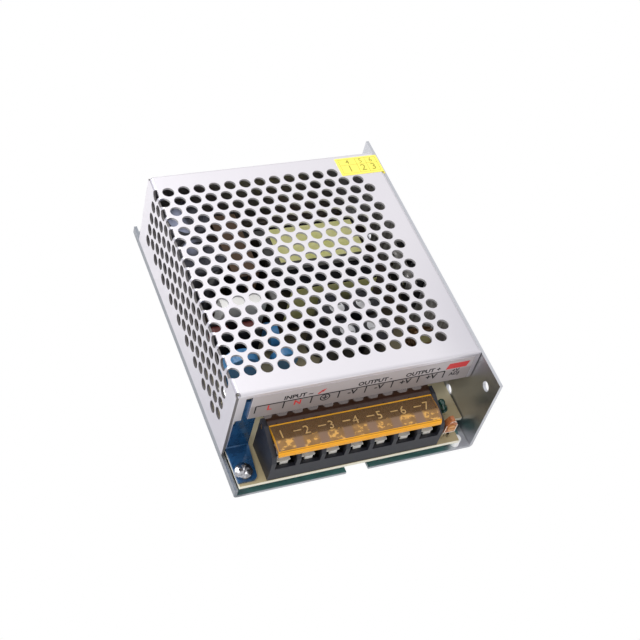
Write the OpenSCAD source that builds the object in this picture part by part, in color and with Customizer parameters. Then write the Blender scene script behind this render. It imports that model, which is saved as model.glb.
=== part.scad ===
// Enclosed switching power supply in a folded perforated case.
// X runs along the terminal row, Y from the terminals to the rear, Z up.
// The origin is the centre of the footprint, on the underside of the chassis.

/* [Case] */
// Overall width, cover side to chassis wall
case_w = 97; // [96:0.5:106]
// Overall length of the chassis
case_l = 129; // [128:0.5:140]
// Overall height, to the top of the cover
case_h = 40; // [39.5:0.5:48]
// Sheet thickness of the chassis
chassis_t = 1.2; // [1:0.1:1.5]
// Length of the open terminal bay in front of the cover
bay_l = 15.6; // [15.4:0.1:18]
// Length of the chassis ear behind the cover
ear_l = 7.3; // [7:0.1:12]
// Step down from the cover's top to the top of the chassis wall
wall_drop = 1.3; // [1:0.1:4]
// Height of the chassis lip on the left
lip_h = 4.5; // [4.2:0.1:5.5]
// Width of the notch in the chassis' front edge
notch_w = 9; // [5:0.5:12]
// Depth of that notch
notch_l = 5; // [3:0.5:8]

/* [Mounting holes] */
// Diameter of the holes in the chassis wall
wall_hole_d = 4; // [3.2:0.1:4.5]
// Height of the low pair of wall holes
wall_hole_z = 6.7; // [5:0.1:10]
// Spacing of the low pair, and of the base holes, along the case
hole_span_y = 82.8; // [76:0.2:86]
// Spacing of the base holes across the case
hole_span_x = 55; // [50:1:58]
// Diameter of the base holes
base_hole_d = 3.2; // [2.5:0.1:3.6]
// Distance of the ear holes below the top of the wall
ear_hole_drop = 8.2; // [6:0.1:10]
// Distance of the front ear hole behind the chassis' front edge
ear_hole_front = 6.4; // [5:0.1:8]

/* [Cover] */
// Sheet thickness of the cover
cover_t = 0.9; // [0.8:0.1:1]
// Gap between the cover's edges and the sheets beside them
cover_gap = 0.3; // [0.2:0.1:0.4]
// Outer radius of the cover's folds
fold_r = 1.3; // [1.1:0.1:1.6]
// Height of the label strip that hangs over the terminals
fascia_h = 15.2; // [13:0.1:15.5]
// Width of the flange beside the label strip
flange_w = 4; // [3:0.1:5]
// Width of the lower end of that flange
flange_tip_w = 1.5; // [1:0.1:2.5]
// Height of the lower end of that flange above the base
flange_tip_z = 7.9; // [6:0.1:12]
// Width of the slot between the flange and the label strip
slot_w = 2.4; // [1.5:0.1:4]
// Distance from the top of the cover to that slot
slot_top = 2.6; // [2:0.1:5]
// Depth of the flange that is screwed inside the chassis wall
inner_flange_h = 8; // [7:0.5:9]

/* [Perforation] */
// Diameter of a vent hole
vent_d = 4.6; // [3:0.1:4.8]
// Pitch of the vent holes along a row
vent_pitch = 6.22; // [6:0.02:8]
// Pitch of the rows
vent_row_pitch = 5.12; // [5:0.02:7]
// Distance from the cover's front face to the first row
vent_front = 9.64; // [8:0.02:14]
// Least plain margin behind the last row
vent_rear = 9; // [8:0.5:16]
// Distance from the left fold to the first hole of a row
vent_left = 1.97; // [1.6:0.01:2.2]
// Least plain margin on the right
vent_right = 9; // [8:0.5:16]
// Depth of the perforated band down the left side
vent_side = 27; // [10:0.5:30]

/* [Board] */
// Thickness of the circuit board
board_t = 1.5; // [1.2:0.1:2]
// Height of the standoffs under the board
standoff_h = 3.6; // [3.2:0.1:4]
// Gap between the board and the case
board_gap = 0.4; // [0.3:0.1:0.6]
// Width of the board's front right cut-out
board_cut_w = 5.7; // [4:0.1:8]
// Length of that cut-out
board_cut_l = 9.4; // [6:0.1:11]

/* [Terminal block] */
// Number of terminals
poles = 7; // [5:1:7]
// Thickness of the barriers between the terminals
barrier_t = 1.7; // [1.2:0.1:2]
// Room between the left side of the case and the block
block_side_l = 11.9; // [11.6:0.1:12.5]
// Room between the block and the right side of the case, for lamp and trimmer
block_side_r = 16.9; // [16.6:0.1:17.5]
// Depth of the block, front to rear
block_d = 15.6; // [15.2:0.1:16]
// Height of the block's end walls above the board
block_h = 16.4; // [16.2:0.1:16.8]
// Diameter of the terminal screws
term_screw_d = 3.4; // [3:0.1:3.5]
// Wall thickness of the lid
lid_t = 1; // [0.8:0.1:1.1]
// Diameter of the lid's hinge pins
pin_d = 2; // [1.6:0.1:2.2]
// Radial clearance of the hinge pins in the end walls
pin_fit = 0.05; // [0.03:0.01:0.1]
// Gap between the lid and the end walls
lid_gap = 0.25; // [0.2:0.05:0.4]

/* [Trimmer] */
// Width of the trimmer's body
trim_w = 4.8; // [4.4:0.1:5.4]
// Height of the trimmer's body
trim_h = 7; // [6:0.1:7.5]
// Thickness of the trimmer's body
trim_t = 2.6; // [2.5:0.1:3]
// Length of the trimmer's legs
trim_leg = 4.9; // [4:0.1:6]
// Diameter of the trimmer's rotor
rotor_d = 3.2; // [2.6:0.1:3.6]

/* [Power parts] */
// Length of the transformer's core, along the case
core_l = 32; // [30:0.5:34]
// Width of the transformer's core, across the case
core_w = 40; // [36:0.5:41]
// Height of the core above the board
core_h = 26.5; // [24:0.5:28]
// Diameter of the bulk capacitors
bulk_d = 18; // [16:0.5:18]
// Height of the bulk capacitors
bulk_h = 27; // [20:0.5:30]
// Diameter of the output capacitors
out_d = 12; // [8:0.5:12]
// Height of the output capacitors
out_h = 24.5; // [16:0.5:28]

/* [Hidden] */

// Overshoot of a cut past the face it opens
eps = 0.5;

// Case faces
left = -case_w / 2;
right = case_w / 2;
front = -case_l / 2;
rear = case_l / 2;
wall_in = right - chassis_t;
wall_top = case_h - wall_drop;
chassis_bend_in = 0.3;
chassis_bend = chassis_bend_in + chassis_t;

// Cover faces
cover_right = wall_in - cover_gap;
cover_front = front + bay_l;
cover_rear = rear - ear_l;
cover_w = cover_right - left;
cover_l = cover_rear - cover_front;
fascia_z = case_h - fascia_h;
under_cover = case_h - cover_t;
relief_r = 1.1;

// Vent pattern, counted from the room that the sheet has
vent_rows = floor((cover_l - vent_front - vent_rear) / vent_row_pitch) + 1;
vents_top = floor((cover_w - vent_left - vent_pitch / 2 - vent_right) / vent_pitch) + 1;

// Board
board_z = chassis_t + standoff_h;
board_top = board_z + board_t;
board_left = left + chassis_t + board_gap;
board_right = wall_in - board_gap;
board_front = front + 0.3;
board_rear = cover_rear - cover_t - board_gap;
board_mid_x = (board_left + board_right) / 2;

// Screws
m3 = 2.9;
m3_bore = 3;
m3_clear = 3.4;
m3_head = 6;
standoff_d = 5.6;
screw_l = board_t + standoff_h - 0.4;

// Hook tabs of the cover behind the chassis lip
hook_l = 10;
hook_y = 30;
hook_in = left + chassis_t + cover_gap;

// Fixings of the cover through the chassis wall
cover_screw_y = [-28, 40];
cover_screw_z = case_h - cover_t - inner_flange_h / 2;

// Earth bracket in the front left corner
bracket_t = 1;
bracket_w = 8.8;
bracket_toe = 7.6;
bracket_left = left + chassis_t + 0.1;
bracket_back = cover_front + cover_t + bracket_t;
bracket_front = front + 1.5;
bracket_top = case_h - 6;
bracket_screw = [bracket_left + 3.1, front + 5.2];

// Terminal block, in its own frame: y from its front face, z from the board
block_front = front + 0.5;
block_left = left + block_side_l;
block_right = right - block_side_r;
block_w = block_right - block_left;
block_rear = block_front + block_d;
pole_pitch = (block_w - barrier_t) / poles;
seat_z = 5.1;
contact_t = 0.8;
contact_front = 4.1;
contact_w = pole_pitch - barrier_t - 0.4;
clamp_z = seat_z + contact_t + 1.4;
clamp_t = 0.8;
term_screw_y = 6.4;
term_pin_y = 10.6;
hinge_y = block_d - 1.8;
hinge_z = block_h - 2.3;
barrel_r = pin_d / 2 + 0.2;
lid_left = block_left + barrier_t + lid_gap;
lid_right = block_right - barrier_t - lid_gap;

// Lamp and trimmer beside the block
led_x = board_right - 6.7;
led_y = front + 11.7;
led_turn = 57;
led_lean = 25;
led_legs = 4.1;
trim_x = block_right + 1.9 + trim_w / 2;
trim_y = front + 1.7;
trim_z = board_top + trim_leg;
rotor_z = trim_z + trim_h * 0.45;

// Left column of the board: the gaps between its parts share the room that is left
bulk_margin = 7;
bulk_gap = 1.4;
bulk_x = board_left + bulk_d / 2 + 0.3;
bulk_front = board_rear - bulk_margin - 2 * bulk_d - bulk_gap;
fuse_l = 20;
fuse_cap_d = 5.2;
line_disc_d = 15;
line_disc_t = 5;
choke_l = 13.4;
x_cap_t = 6.2;
x_cap_w = 18;
in_share = (bulk_front - block_rear - fuse_l - line_disc_t - choke_l - x_cap_t) / 15.3;
fuse_x = board_left + 6.2;
fuse_y = block_rear + 3 * in_share + fuse_l / 2;
fuse_z = board_top + 5.2;
line_disc_y = fuse_y + fuse_l / 2 + 3.3 * in_share + line_disc_t / 2;
choke_x = board_left + 15.1;
choke_y = line_disc_y + line_disc_t / 2 + 3 * in_share + choke_l / 2;
x_cap_y = choke_y + choke_l / 2 + 3.6 * in_share;
noise_disc_y = x_cap_y - 9.2;

// Middle column: transformer, output capacitors and control parts
opto_l = 5.9;
chip_l = 7.7;
out_pitch = out_d + 1.2;
out_l = out_pitch + out_d;
mid_share = (board_rear - block_rear - opto_l - out_l - core_l - chip_l) / 33.5;
opto_y = block_rear + 7.8 * mid_share;
out_y = opto_y + opto_l + 5 * mid_share + out_l / 2;
core_left = board_left + 33.1;
core_x = core_left + core_w / 2;
core_y = out_y + out_l / 2 + 3.5 * mid_share + core_l / 2;
chip_y = core_y + core_l / 2 + 12.4 * mid_share;
out_x = core_left + 25;
core_bar = 8;
core_leg = 6;
core_centre = 12;
core_z = board_top + 5.5;
core_tall = core_h - 5.5;
coil_gap = 0.4;

// Heatsink between the two columns, its flange reaching over the rectifier
heatsink_x = core_left - 3.6;
heatsink_y = x_cap_y + x_cap_t + 1.9 * in_share;
heatsink_l = 30;
heatsink_t = 2;
heatsink_reach = heatsink_x - bulk_x - bulk_d / 2 - 0.6;

// Right column: parts at shares of the length behind the terminal block
right_l = board_rear - block_rear;
toroid_r = 9.25;
toroid_x = board_right - 8;
toroid_y = block_rear + right_l * 0.2;
small_cap_y = block_rear + right_l * 0.852;

// Power devices on the chassis wall
pad_t = 0.3;
device_w = 10;
device_t = 3.4;
device_h = 15;
device_z = board_top + 6.5;
device_y = [block_rear + right_l * 0.469, block_rear + right_l * 0.469 + 12];
clamp_x = wall_in - pad_t - device_t;

// Standoffs of the board
standoff_places = [
    bracket_screw,
    [board_right - 4, block_rear + right_l * 0.344],
    [board_left + 4, board_rear - 4.6],
    [board_right - 4, board_rear - 4.6]
];

// ---- Helpers ----

module rounded_top(a, b, za, zb, r) {
    translate([a, za]) square([b - a, zb - za - r]);
    translate([a + r, za]) square([b - a - 2 * r, zb - za]);
    for (c = [a + r, b - r]) translate([c, zb - r]) circle(r, $fn = 32);
}

module rounded_bottom(a, b, za, zb, r) {
    translate([a, za + r]) square([b - a, zb - za - r]);
    translate([a + r, za]) square([b - a - 2 * r, zb - za]);
    for (c = [a + r, b - r]) translate([c, za + r]) circle(r, $fn = 32);
}

// Profile in X and Z, drawn out from y = ya to y = yb
module along_y(ya, yb) {
    translate([0, yb, 0]) rotate([90, 0, 0]) linear_extrude(yb - ya) children();
}

// Profile in Y and Z, drawn out from x = xa to x = xb
module along_x(xa, xb) {
    translate([xa, 0, 0]) rotate([90, 0, 90]) linear_extrude(xb - xa) children();
}

// Box with its top edges folded to a radius
module folded_box(xa, xb, ya, yb, za, zb, r) {
    intersection() {
        along_y(ya, yb) rounded_top(xa, xb, za, zb, r);
        along_x(xa, xb) rounded_top(ya, yb, za, zb, r);
    }
}

module slab(xa, xb, ya, yb, za, zb) {
    translate([xa, ya, za]) cube([xb - xa, yb - ya, zb - za]);
}

// Rounded plate
module plate(w, l, r) {
    translate([r, 0]) square([w - 2 * r, l]);
    translate([0, r]) square([w, l - 2 * r]);
    for (x = [r, w - r], y = [r, l - r]) translate([x, y]) circle(r, $fn = 32);
}

// Cross recess of a screw head, cut down from z = 0
module cross_recess(w, deep) {
    for (a = [0, 90]) rotate(a) translate([-w / 2, -w / 8, -deep]) cube([w, w / 4, deep + eps]);
}

// Pan head screw, head seated on z = 0, shank down
module pan_screw(d, head, l) {
    head_h = head * 0.36;
    difference() {
        union() {
            rotate_extrude($fn = 40) intersection() {
                translate([0, 0]) square([head / 2, head_h]);
                union() {
                    square([head / 2, head_h * 0.45]);
                    translate([0, head_h - head * 0.9]) circle(head * 0.9, $fn = 64);
                }
            }
            translate([0, 0, -l]) cylinder(d = d, h = l, $fn = 24);
        }
        translate([0, 0, head_h]) cross_recess(head * 0.6, head_h * 0.6);
    }
}

// Electrolytic can with a beaded top and a scored vent
module can(d, h) {
    bead = d * 0.045;
    difference() {
        rotate_extrude($fn = 48) difference() {
            union() {
                square([d / 2, h - bead]);
                square([d / 2 - bead, h]);
                translate([d / 2 - bead, h - bead]) circle(bead, $fn = 24);
            }
            translate([d / 2, h * 0.13]) circle(bead, $fn = 24);
            translate([-eps, h - bead * 0.5]) square([d * 0.36 + eps, bead]);
        }
        for (a = [0, 90]) rotate(a) translate([-d * 0.27, -0.15, h - bead]) cube([d * 0.54, 0.3, bead]);
    }
}

// Disc component standing on two leads, facing Y
module disc_part(d, t, lead_h) {
    lead = 0.8;
    span = d * 0.5;
    translate([0, t / 2, lead_h + d / 2]) rotate([90, 0, 0]) cylinder(d = d, h = t, $fn = 48);
    for (s = [-1, 1]) translate([s * span / 2, 0, 0]) cylinder(d = lead, h = lead_h + d * 0.2, $fn = 16);
}

// ---- Case ----

module chassis_profile() {
    difference() {
        rounded_bottom(left, right, 0, wall_top, chassis_bend);
        rounded_bottom(left + chassis_t, wall_in, chassis_t, wall_top + eps, chassis_bend_in);
        translate([left - eps, lip_h]) square([chassis_t + 2 * eps, wall_top]);
    }
}

module wall_drill(y, z, d) {
    translate([wall_in - eps, y, z]) rotate([0, 90, 0]) cylinder(d = d, h = chassis_t + 2 * eps, $fn = 32);
}

module chassis() color([0.62, 0.63, 0.66]) {
    difference() {
        along_y(front, rear) chassis_profile();
        slab(-notch_w / 2, notch_w / 2, front - eps, front + notch_l, -eps, chassis_t + eps);
        for (s = [-1, 1]) wall_drill(s * hole_span_y / 2, wall_hole_z, wall_hole_d);
        wall_drill(front + ear_hole_front, wall_top - ear_hole_drop, wall_hole_d);
        wall_drill(rear - ear_l / 2, wall_top - ear_hole_drop, wall_hole_d);
        for (x = [-1, 1], y = [-1, 1])
            translate([x * hole_span_x / 2, y * hole_span_y / 2, -eps])
                cylinder(d = base_hole_d, h = chassis_t + 2 * eps, $fn = 32);
        for (y = cover_screw_y) translate([right, y, cover_screw_z]) rotate([0, -90, 0])
            translate([0, 0, -0.01]) cylinder(d1 = m3_head + 0.1, d2 = m3_clear + 0.1,
                h = chassis_t + 0.02, $fn = 40);
        for (y = device_y) wall_drill(y, device_z + device_h - 3.5, m3_bore);
    }
}

function row_shift(j) = vent_left + (j % 2) * vent_pitch / 2;
function row_y(j) = cover_front + vent_front + j * vent_row_pitch;
function first_hole(j) = -floor((vent_side + row_shift(j)) / vent_pitch);

// Circles of the flat pattern, each at its distance from the left fold
module top_vents() {
    for (j = [0 : vent_rows - 1], i = [-1 : vents_top - 1])
        if (row_shift(j) + i * vent_pitch > -vent_d / 2)
            translate([left + row_shift(j) + i * vent_pitch, row_y(j)]) circle(d = vent_d, $fn = 24);
}

module side_vents() {
    for (j = [0 : vent_rows - 1], i = [first_hole(j) : 0])
        if (row_shift(j) + i * vent_pitch < vent_d / 2)
            translate([row_y(j), case_h + row_shift(j) + i * vent_pitch]) circle(d = vent_d, $fn = 24);
}

module cover_hook(y) {
    slab(left + eps / 2, hook_in + cover_t, y - hook_l / 2, y + hook_l / 2, lip_h, lip_h + cover_t);
    slab(hook_in, hook_in + cover_t, y - hook_l / 2, y + hook_l / 2,
        chassis_t + 2 * cover_gap, lip_h + cover_t);
}

module vent_cover() color([0.86, 0.85, 0.9]) {
    skirt_z = chassis_t + cover_gap;
    difference() {
        union() {
            difference() {
                folded_box(left, cover_right, cover_front, cover_rear, skirt_z, case_h, fold_r);
                folded_box(left + cover_t, cover_right - cover_t, cover_front + cover_t,
                    cover_rear - cover_t, skirt_z - eps, under_cover, fold_r - cover_t);
                // room for the chassis lip along the left side
                slab(left - eps, hook_in, cover_front - eps, cover_rear + eps, 0, lip_h);
                // terminal bay below the label strip, and the foot of the flange
                slab(left + flange_tip_w, cover_right + eps, cover_front - eps,
                    cover_front + cover_t + eps, 0, fascia_z);
                slab(left + cover_t, cover_right + eps, cover_front - eps,
                    cover_front + cover_t + eps, 0, flange_tip_z);
                // slot between the flange and the label strip
                slab(left + flange_w, left + flange_w + slot_w, cover_front - eps,
                    cover_front + cover_t + eps, 0, case_h - slot_top);
                // right side is only a short flange inside the chassis wall
                slab(cover_right - cover_t - eps, cover_right + eps, cover_front + cover_t,
                    cover_rear - cover_t, 0, case_h - inner_flange_h);
            }
            for (s = [-1, 1]) cover_hook(s * hook_y);
        }
        // perforation
        translate([0, 0, under_cover - eps / 2]) linear_extrude(cover_t + eps) top_vents();
        along_x(left - eps, left + cover_t + eps / 2) side_vents();
        // relief holes where three folds meet
        for (y = [cover_front + relief_r / 2, cover_rear - relief_r / 2])
            translate([left + relief_r / 2, y, case_h - relief_r / 2]) sphere(relief_r, $fn = 24);
        // threaded holes of the cover screws
        for (y = cover_screw_y) translate([cover_right - cover_t - eps, y, cover_screw_z])
            rotate([0, 90, 0]) cylinder(d = m3_bore, h = cover_t + 2 * eps, $fn = 24);
    }
}

// Countersunk screws, flush with the chassis wall
module cover_screws() color([0.75, 0.75, 0.77]) {
    for (y = cover_screw_y) translate([right, y, cover_screw_z]) rotate([0, -90, 0]) difference() {
        union() {
            cylinder(d1 = m3_head, d2 = m3, h = chassis_t, $fn = 40);
            translate([0, 0, chassis_t - 0.01]) cylinder(d = m3, h = 4.5, $fn = 24);
        }
        rotate([180, 0, 0]) cross_recess(m3_head * 0.55, 0.8);
    }
}

module fascia_label() color([0.72, 0.73, 0.78]) {
    label_t = 0.15;
    slab(left + flange_w + slot_w + 0.2, cover_right - 1.9, cover_front - label_t, cover_front,
        fascia_z + 0.2, case_h - 2.6);
}

// Tamper seal that laps from the cover onto the chassis wall
module seal_sticker() color([0.95, 0.86, 0.2]) {
    seal_l = 9.6;
    seal_w = 18.4;
    seal_t = 0.12;
    seal_y = cover_rear - 11.8;
    translate([cover_right - seal_w, seal_y, case_h]) cube([seal_w + seal_t, seal_l, seal_t]);
    translate([cover_right, seal_y, wall_top]) cube([seal_t, seal_l, case_h - wall_top + seal_t]);
    translate([cover_right, seal_y, wall_top]) cube([right - cover_right - 0.4, seal_l, seal_t]);
}

// ---- Board and its fixings ----

module insulation_sheet() color([0.9, 0.9, 0.85, 0.6]) {
    film_t = 0.2;
    edge = 1.6;
    difference() {
        translate([board_left + edge, front + notch_l + 1, chassis_t])
            cube([board_right - board_left - 2 * edge, board_rear - front - notch_l - 1, film_t]);
        for (p = standoff_places) translate([p[0], p[1], 0]) cylinder(d = standoff_d + 1, h = 3, $fn = 24);
        for (x = [-1, 1], y = [-1, 1])
            translate([x * hole_span_x / 2, y * hole_span_y / 2, 0]) cylinder(d = 6, h = 3, $fn = 24);
    }
}

module circuit_board() color([0.78, 0.7, 0.55]) {
    difference() {
        slab(board_left, board_right, board_front, board_rear, board_z, board_top);
        slab(board_right - board_cut_w, board_right + eps, board_front - eps,
            board_front + board_cut_l, 0, board_top + eps);
        for (s = [-1, 1]) slab(board_left - eps, hook_in + cover_t + board_gap,
            s * hook_y - hook_l / 2 - board_gap, s * hook_y + hook_l / 2 + board_gap, 0, board_top + eps);
        for (p = standoff_places) translate([p[0], p[1], board_z - eps])
            cylinder(d = m3_clear, h = board_t + 2 * eps, $fn = 24);
        for (i = [0 : poles - 1]) translate([pole_x(i), block_front + term_pin_y, board_z - eps])
            cylinder(d = 1.9, h = board_t + 2 * eps, $fn = 16);
    }
}

module standoffs() color([0.8, 0.8, 0.78]) {
    for (p = standoff_places) translate([p[0], p[1], chassis_t]) difference() {
        cylinder(d = standoff_d, h = standoff_h, $fn = 6);
        translate([0, 0, -eps]) cylinder(d = m3_bore, h = standoff_h + 2 * eps, $fn = 24);
    }
}

module board_screws() color([0.78, 0.78, 0.8]) {
    for (k = [1 : 3]) translate([standoff_places[k][0], standoff_places[k][1], board_top])
        pan_screw(m3, m3_head, screw_l);
}

// Nylon spacer under the free front right corner of the board
module corner_spacer() color([0.95, 0.95, 0.93]) {
    translate([board_right - board_cut_w + 0.4, front + 2.2, chassis_t])
        cylinder(d = 3.4, h = standoff_h, $fn = 32);
}

module earth_bracket() color([0.1, 0.35, 0.65]) {
    bend = 1.6;
    toe_r = 2;
    foot_l = bracket_back - bracket_front - bend;
    difference() {
        along_x(bracket_left, bracket_left + bracket_w) difference() {
            union() {
                translate([bracket_front, board_top])
                    square([foot_l, bracket_t]);
                translate([bracket_back - bracket_t, board_top + bend])
                    square([bracket_t, bracket_top - board_top - bend]);
                translate([bracket_back - bend, board_top + bend]) intersection() {
                    difference() { circle(bend, $fn = 32); circle(bend - bracket_t, $fn = 32); }
                    translate([0, -bend]) square([bend, bend]);
                }
            }
        }
        translate([bracket_screw[0], bracket_screw[1], board_top - eps])
            cylinder(d = m3_clear, h = bracket_t + 2 * eps, $fn = 24);
        // stepped edge beside the flange of the cover
        slab(bracket_left - eps, bracket_left + 1.6, bracket_back - bracket_t - eps,
            bracket_back + eps, fascia_z - 4.5, bracket_top + eps);
        slab(bracket_left - eps, bracket_left + 0.8, bracket_back - bracket_t - eps,
            bracket_back + eps, fascia_z - 9, bracket_top + eps);
        // foot tapers to its rounded toe
        translate([bracket_left, bracket_front, board_top - eps]) linear_extrude(bracket_t + 2 * eps) {
            polygon([[bracket_w + eps, 1], [bracket_toe, 1], [bracket_toe, toe_r], [bracket_w, foot_l],
                [bracket_w + eps, foot_l]]);
            translate([bracket_toe - toe_r, toe_r]) difference() {
                translate([0, -2 * toe_r]) square([2 * bracket_w, 2 * toe_r]);
                circle(toe_r, $fn = 32);
            }
        }
    }
}

module bracket_screw() color([0.85, 0.85, 0.87]) {
    translate([bracket_screw[0], bracket_screw[1], board_top + bracket_t])
        pan_screw(m3, m3_head + 0.4, screw_l);
}

// ---- Terminal block ----

function pole_x(i) = block_left + barrier_t / 2 + pole_pitch * (i + 0.5);

module at_block() translate([0, block_front, board_top]) children();

module barrier_profile() {
    polygon([[0, 0], [0, 10.2], [1, 12.6], [3.4, 14.2], [5.6, 15.1], [11.3, 14.8], [12.2, 12.2],
        [block_d, 12.2], [block_d, 0]]);
}

module end_profile() {
    polygon([[0, 0], [0, 10.2], [1, 12.8], [5.2, 14.2], [12, block_h], [block_d, block_h], [block_d, 0]]);
}

module terminal_block() color([0.12, 0.13, 0.16]) at_block() difference() {
    union() {
        // floor with a low front wall and a rear wall
        along_x(block_left, block_right) {
            square([block_d, seat_z]);
            square([1.6, seat_z + 1.5]);
            translate([block_d - 1.6, 0]) square([1.6, 12.2]);
        }
        for (i = [1 : poles - 1]) let (x = block_left + i * pole_pitch)
            along_x(x, x + barrier_t) barrier_profile();
        for (x = [block_left, block_right - barrier_t]) along_x(x, x + barrier_t) end_profile();
    }
    for (i = [0 : poles - 1]) {
        translate([pole_x(i), term_screw_y, 1]) cylinder(d = term_screw_d + 0.4, h = seat_z, $fn = 24);
        slab(pole_x(i) - 0.7, pole_x(i) + 0.7, term_pin_y - 0.6, term_pin_y + 0.6, -eps, seat_z + eps);
    }
    // sockets of the lid's hinge pins
    for (x = [block_left - eps, block_right - barrier_t - eps])
        translate([x, hinge_y, hinge_z]) rotate([0, 90, 0])
            cylinder(r = pin_d / 2 + pin_fit, h = barrier_t + 2 * eps, $fn = 32);
}

module terminal_contacts() color([0.8, 0.78, 0.7]) at_block() {
    for (i = [0 : poles - 1]) translate([pole_x(i), 0, 0]) difference() {
        union() {
            slab(-contact_w / 2, contact_w / 2, contact_front, term_pin_y + 0.9, seat_z, seat_z + contact_t);
            slab(-0.6, 0.6, term_pin_y - 0.5, term_pin_y + 0.5, -board_t - 1.2, seat_z + contact_t / 2);
        }
        translate([0, term_screw_y, 0]) cylinder(d = term_screw_d + 0.1, h = 20, $fn = 24);
    }
}

// Clamp plates with a narrow tongue bent down behind the wire entry
module wire_clamps() color([0.85, 0.85, 0.86]) at_block() {
    clamp_w = contact_w * 0.7;
    clamp_front = term_screw_y - 3;
    tongue_w = clamp_w / 2;
    tongue_drop = clamp_z - seat_z - contact_t - 0.2;
    for (i = [0 : poles - 1]) translate([pole_x(i), 0, clamp_z]) difference() {
        union() {
            slab(-clamp_w / 2, clamp_w / 2, clamp_front, term_screw_y + 3.2, 0, clamp_t);
            slab(-tongue_w / 2, tongue_w / 2, clamp_front, clamp_front + clamp_t, -tongue_drop, clamp_t);
        }
        translate([0, term_screw_y, -eps]) cylinder(d = term_screw_d + 0.4, h = 3, $fn = 24);
    }
}

module terminal_screws() color([0.82, 0.82, 0.84]) at_block() {
    for (i = [0 : poles - 1]) translate([pole_x(i), term_screw_y, clamp_z + clamp_t])
        pan_screw(term_screw_d, 6.2, clamp_z + clamp_t - 1.6);
}

// Bends of the lid's outer face, from the rear flap to the lower front edge
lid_bends = [[12, block_h - 0.1], [5.2, block_h + 0.3], [1.5, block_h - 0.6], [0.6, block_h - 2.2]];

// Section of the lid: rear flap, top panel, sloping panel and front edge
module lid_profile() {
    polygon([
        [hinge_y + pin_d * 0.25, hinge_z + pin_d * 0.35],
        lid_bends[0], lid_bends[1], lid_bends[2], lid_bends[3],
        lid_bends[3] + [lid_t * 1.1, -0.1],
        lid_bends[2] + [lid_t * 0.75, -lid_t * 0.95],
        lid_bends[1] + [0.15, -lid_t],
        lid_bends[0] + [-0.25, -lid_t],
        [hinge_y - pin_d * 0.4, hinge_z - pin_d * 0.15]
    ]);
    translate([hinge_y, hinge_z]) circle(r = barrel_r, $fn = 32);
}

// Closing plate at each end of the lid
module lid_end_profile() {
    polygon([lid_bends[0], lid_bends[1], lid_bends[2], lid_bends[3], [3.5, block_h - 2.3],
        [11.4, block_h - 1.8]]);
}

module terminal_lid() color([0.75, 0.42, 0.1, 0.6]) at_block() {
    along_x(lid_left + lid_t, lid_right - lid_t) lid_profile();
    for (x = [lid_left, lid_right - lid_t]) along_x(x, x + lid_t) {
        lid_profile();
        lid_end_profile();
    }
    translate([block_left + 0.3, hinge_y, hinge_z]) rotate([0, 90, 0])
        cylinder(d = pin_d, h = block_w - 0.6, $fn = 32);
}

// ---- Lamp and trimmer ----

// Places a lamp part in the frame of its leaning axis, y along the lean
module at_led() translate([led_x, led_y, board_top]) rotate(led_turn) children();

module power_led() color([0.05, 0.3, 0.2]) at_led() {
    led_d = 3;
    rotate([-led_lean, 0, 0]) translate([0, 0, led_legs]) {
        cylinder(d = led_d + 0.8, h = 0.9, $fn = 32);
        cylinder(d = led_d, h = 3.9, $fn = 32);
        translate([0, 0, 3.9]) sphere(d = led_d, $fn = 32);
    }
}

module led_leads() color([0.6, 0.6, 0.6]) at_led() {
    lead = 0.5;
    top = led_legs * [sin(led_lean), cos(led_lean)];
    side = lead / 2 * [cos(led_lean), -sin(led_lean)];
    for (s = [-1, 1]) along_x(s * 0.9 - lead / 2, s * 0.9 + lead / 2)
        polygon([[-lead / 2, 0], [lead / 2, 0], top + side, top - side]);
}

module trimmer_outline() {
    polygon([[-trim_w / 2, 0], [trim_w / 2, 0], [trim_w / 2, trim_h * 0.62], [trim_w * 0.16, trim_h],
        [-trim_w * 0.16, trim_h], [-trim_w / 2, trim_h * 0.62]]);
}

module trimmer_body() color([0.7, 0.33, 0.12]) {
    foot_t = 0.6;
    difference() {
        union() {
            translate([trim_x, 0, trim_z]) along_y(trim_y, trim_y + trim_t) trimmer_outline();
            slab(trim_x - trim_w * 0.4, trim_x + trim_w * 0.4, trim_y + trim_t - foot_t, trim_y + trim_t,
                board_top, trim_z + eps);
        }
        translate([trim_x, trim_y + 0.8, rotor_z]) rotate([90, 0, 0])
            cylinder(d = rotor_d + 0.2, h = 2, $fn = 40);
        translate([trim_x, trim_y + trim_t + eps, rotor_z]) rotate([90, 0, 0])
            cylinder(d = 1.3, h = trim_t + 1, $fn = 24);
    }
}

// Three legs, the middle one set back
module trimmer_pins() color([0.8, 0.8, 0.82]) {
    for (s = [-1, 0, 1]) let (x = trim_x + s * trim_w * 0.34, y = trim_y + (s == 0 ? 1.3 : 0.8))
        slab(x - 0.4, x + 0.4, y, y + 0.5, board_top, trim_z);
}

// Rotor with a screwdriver slot, on a pivot through the body
module trimmer_rotor() color([0.85, 0.5, 0.2]) {
    difference() {
        union() {
            translate([trim_x, trim_y + 0.7, rotor_z]) rotate([90, 0, 0])
                cylinder(d = rotor_d, h = 1.2, $fn = 40);
            translate([trim_x, trim_y + trim_t, rotor_z]) rotate([90, 0, 0])
                cylinder(d = 1.2, h = trim_t, $fn = 24);
        }
        slab(trim_x - rotor_d * 0.4, trim_x + rotor_d * 0.4, trim_y - 1, trim_y,
            rotor_z - 0.35, rotor_z + 0.35);
    }
}

// ---- Transformer ----

// One E-shaped half, back bar towards -Y, legs ending at y = 0
module core_half() {
    half = core_l / 2;
    slab(-core_w / 2, core_w / 2, -half, -half + core_bar, core_z, core_z + core_tall);
    for (x = [-core_w / 2, core_w / 2 - core_leg])
        slab(x, x + core_leg, -half + core_bar - eps, 0, core_z, core_z + core_tall);
    slab(-core_centre / 2, core_centre / 2, -half + core_bar - eps, 0, core_z + 4, core_z + core_tall - 4);
}

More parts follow.
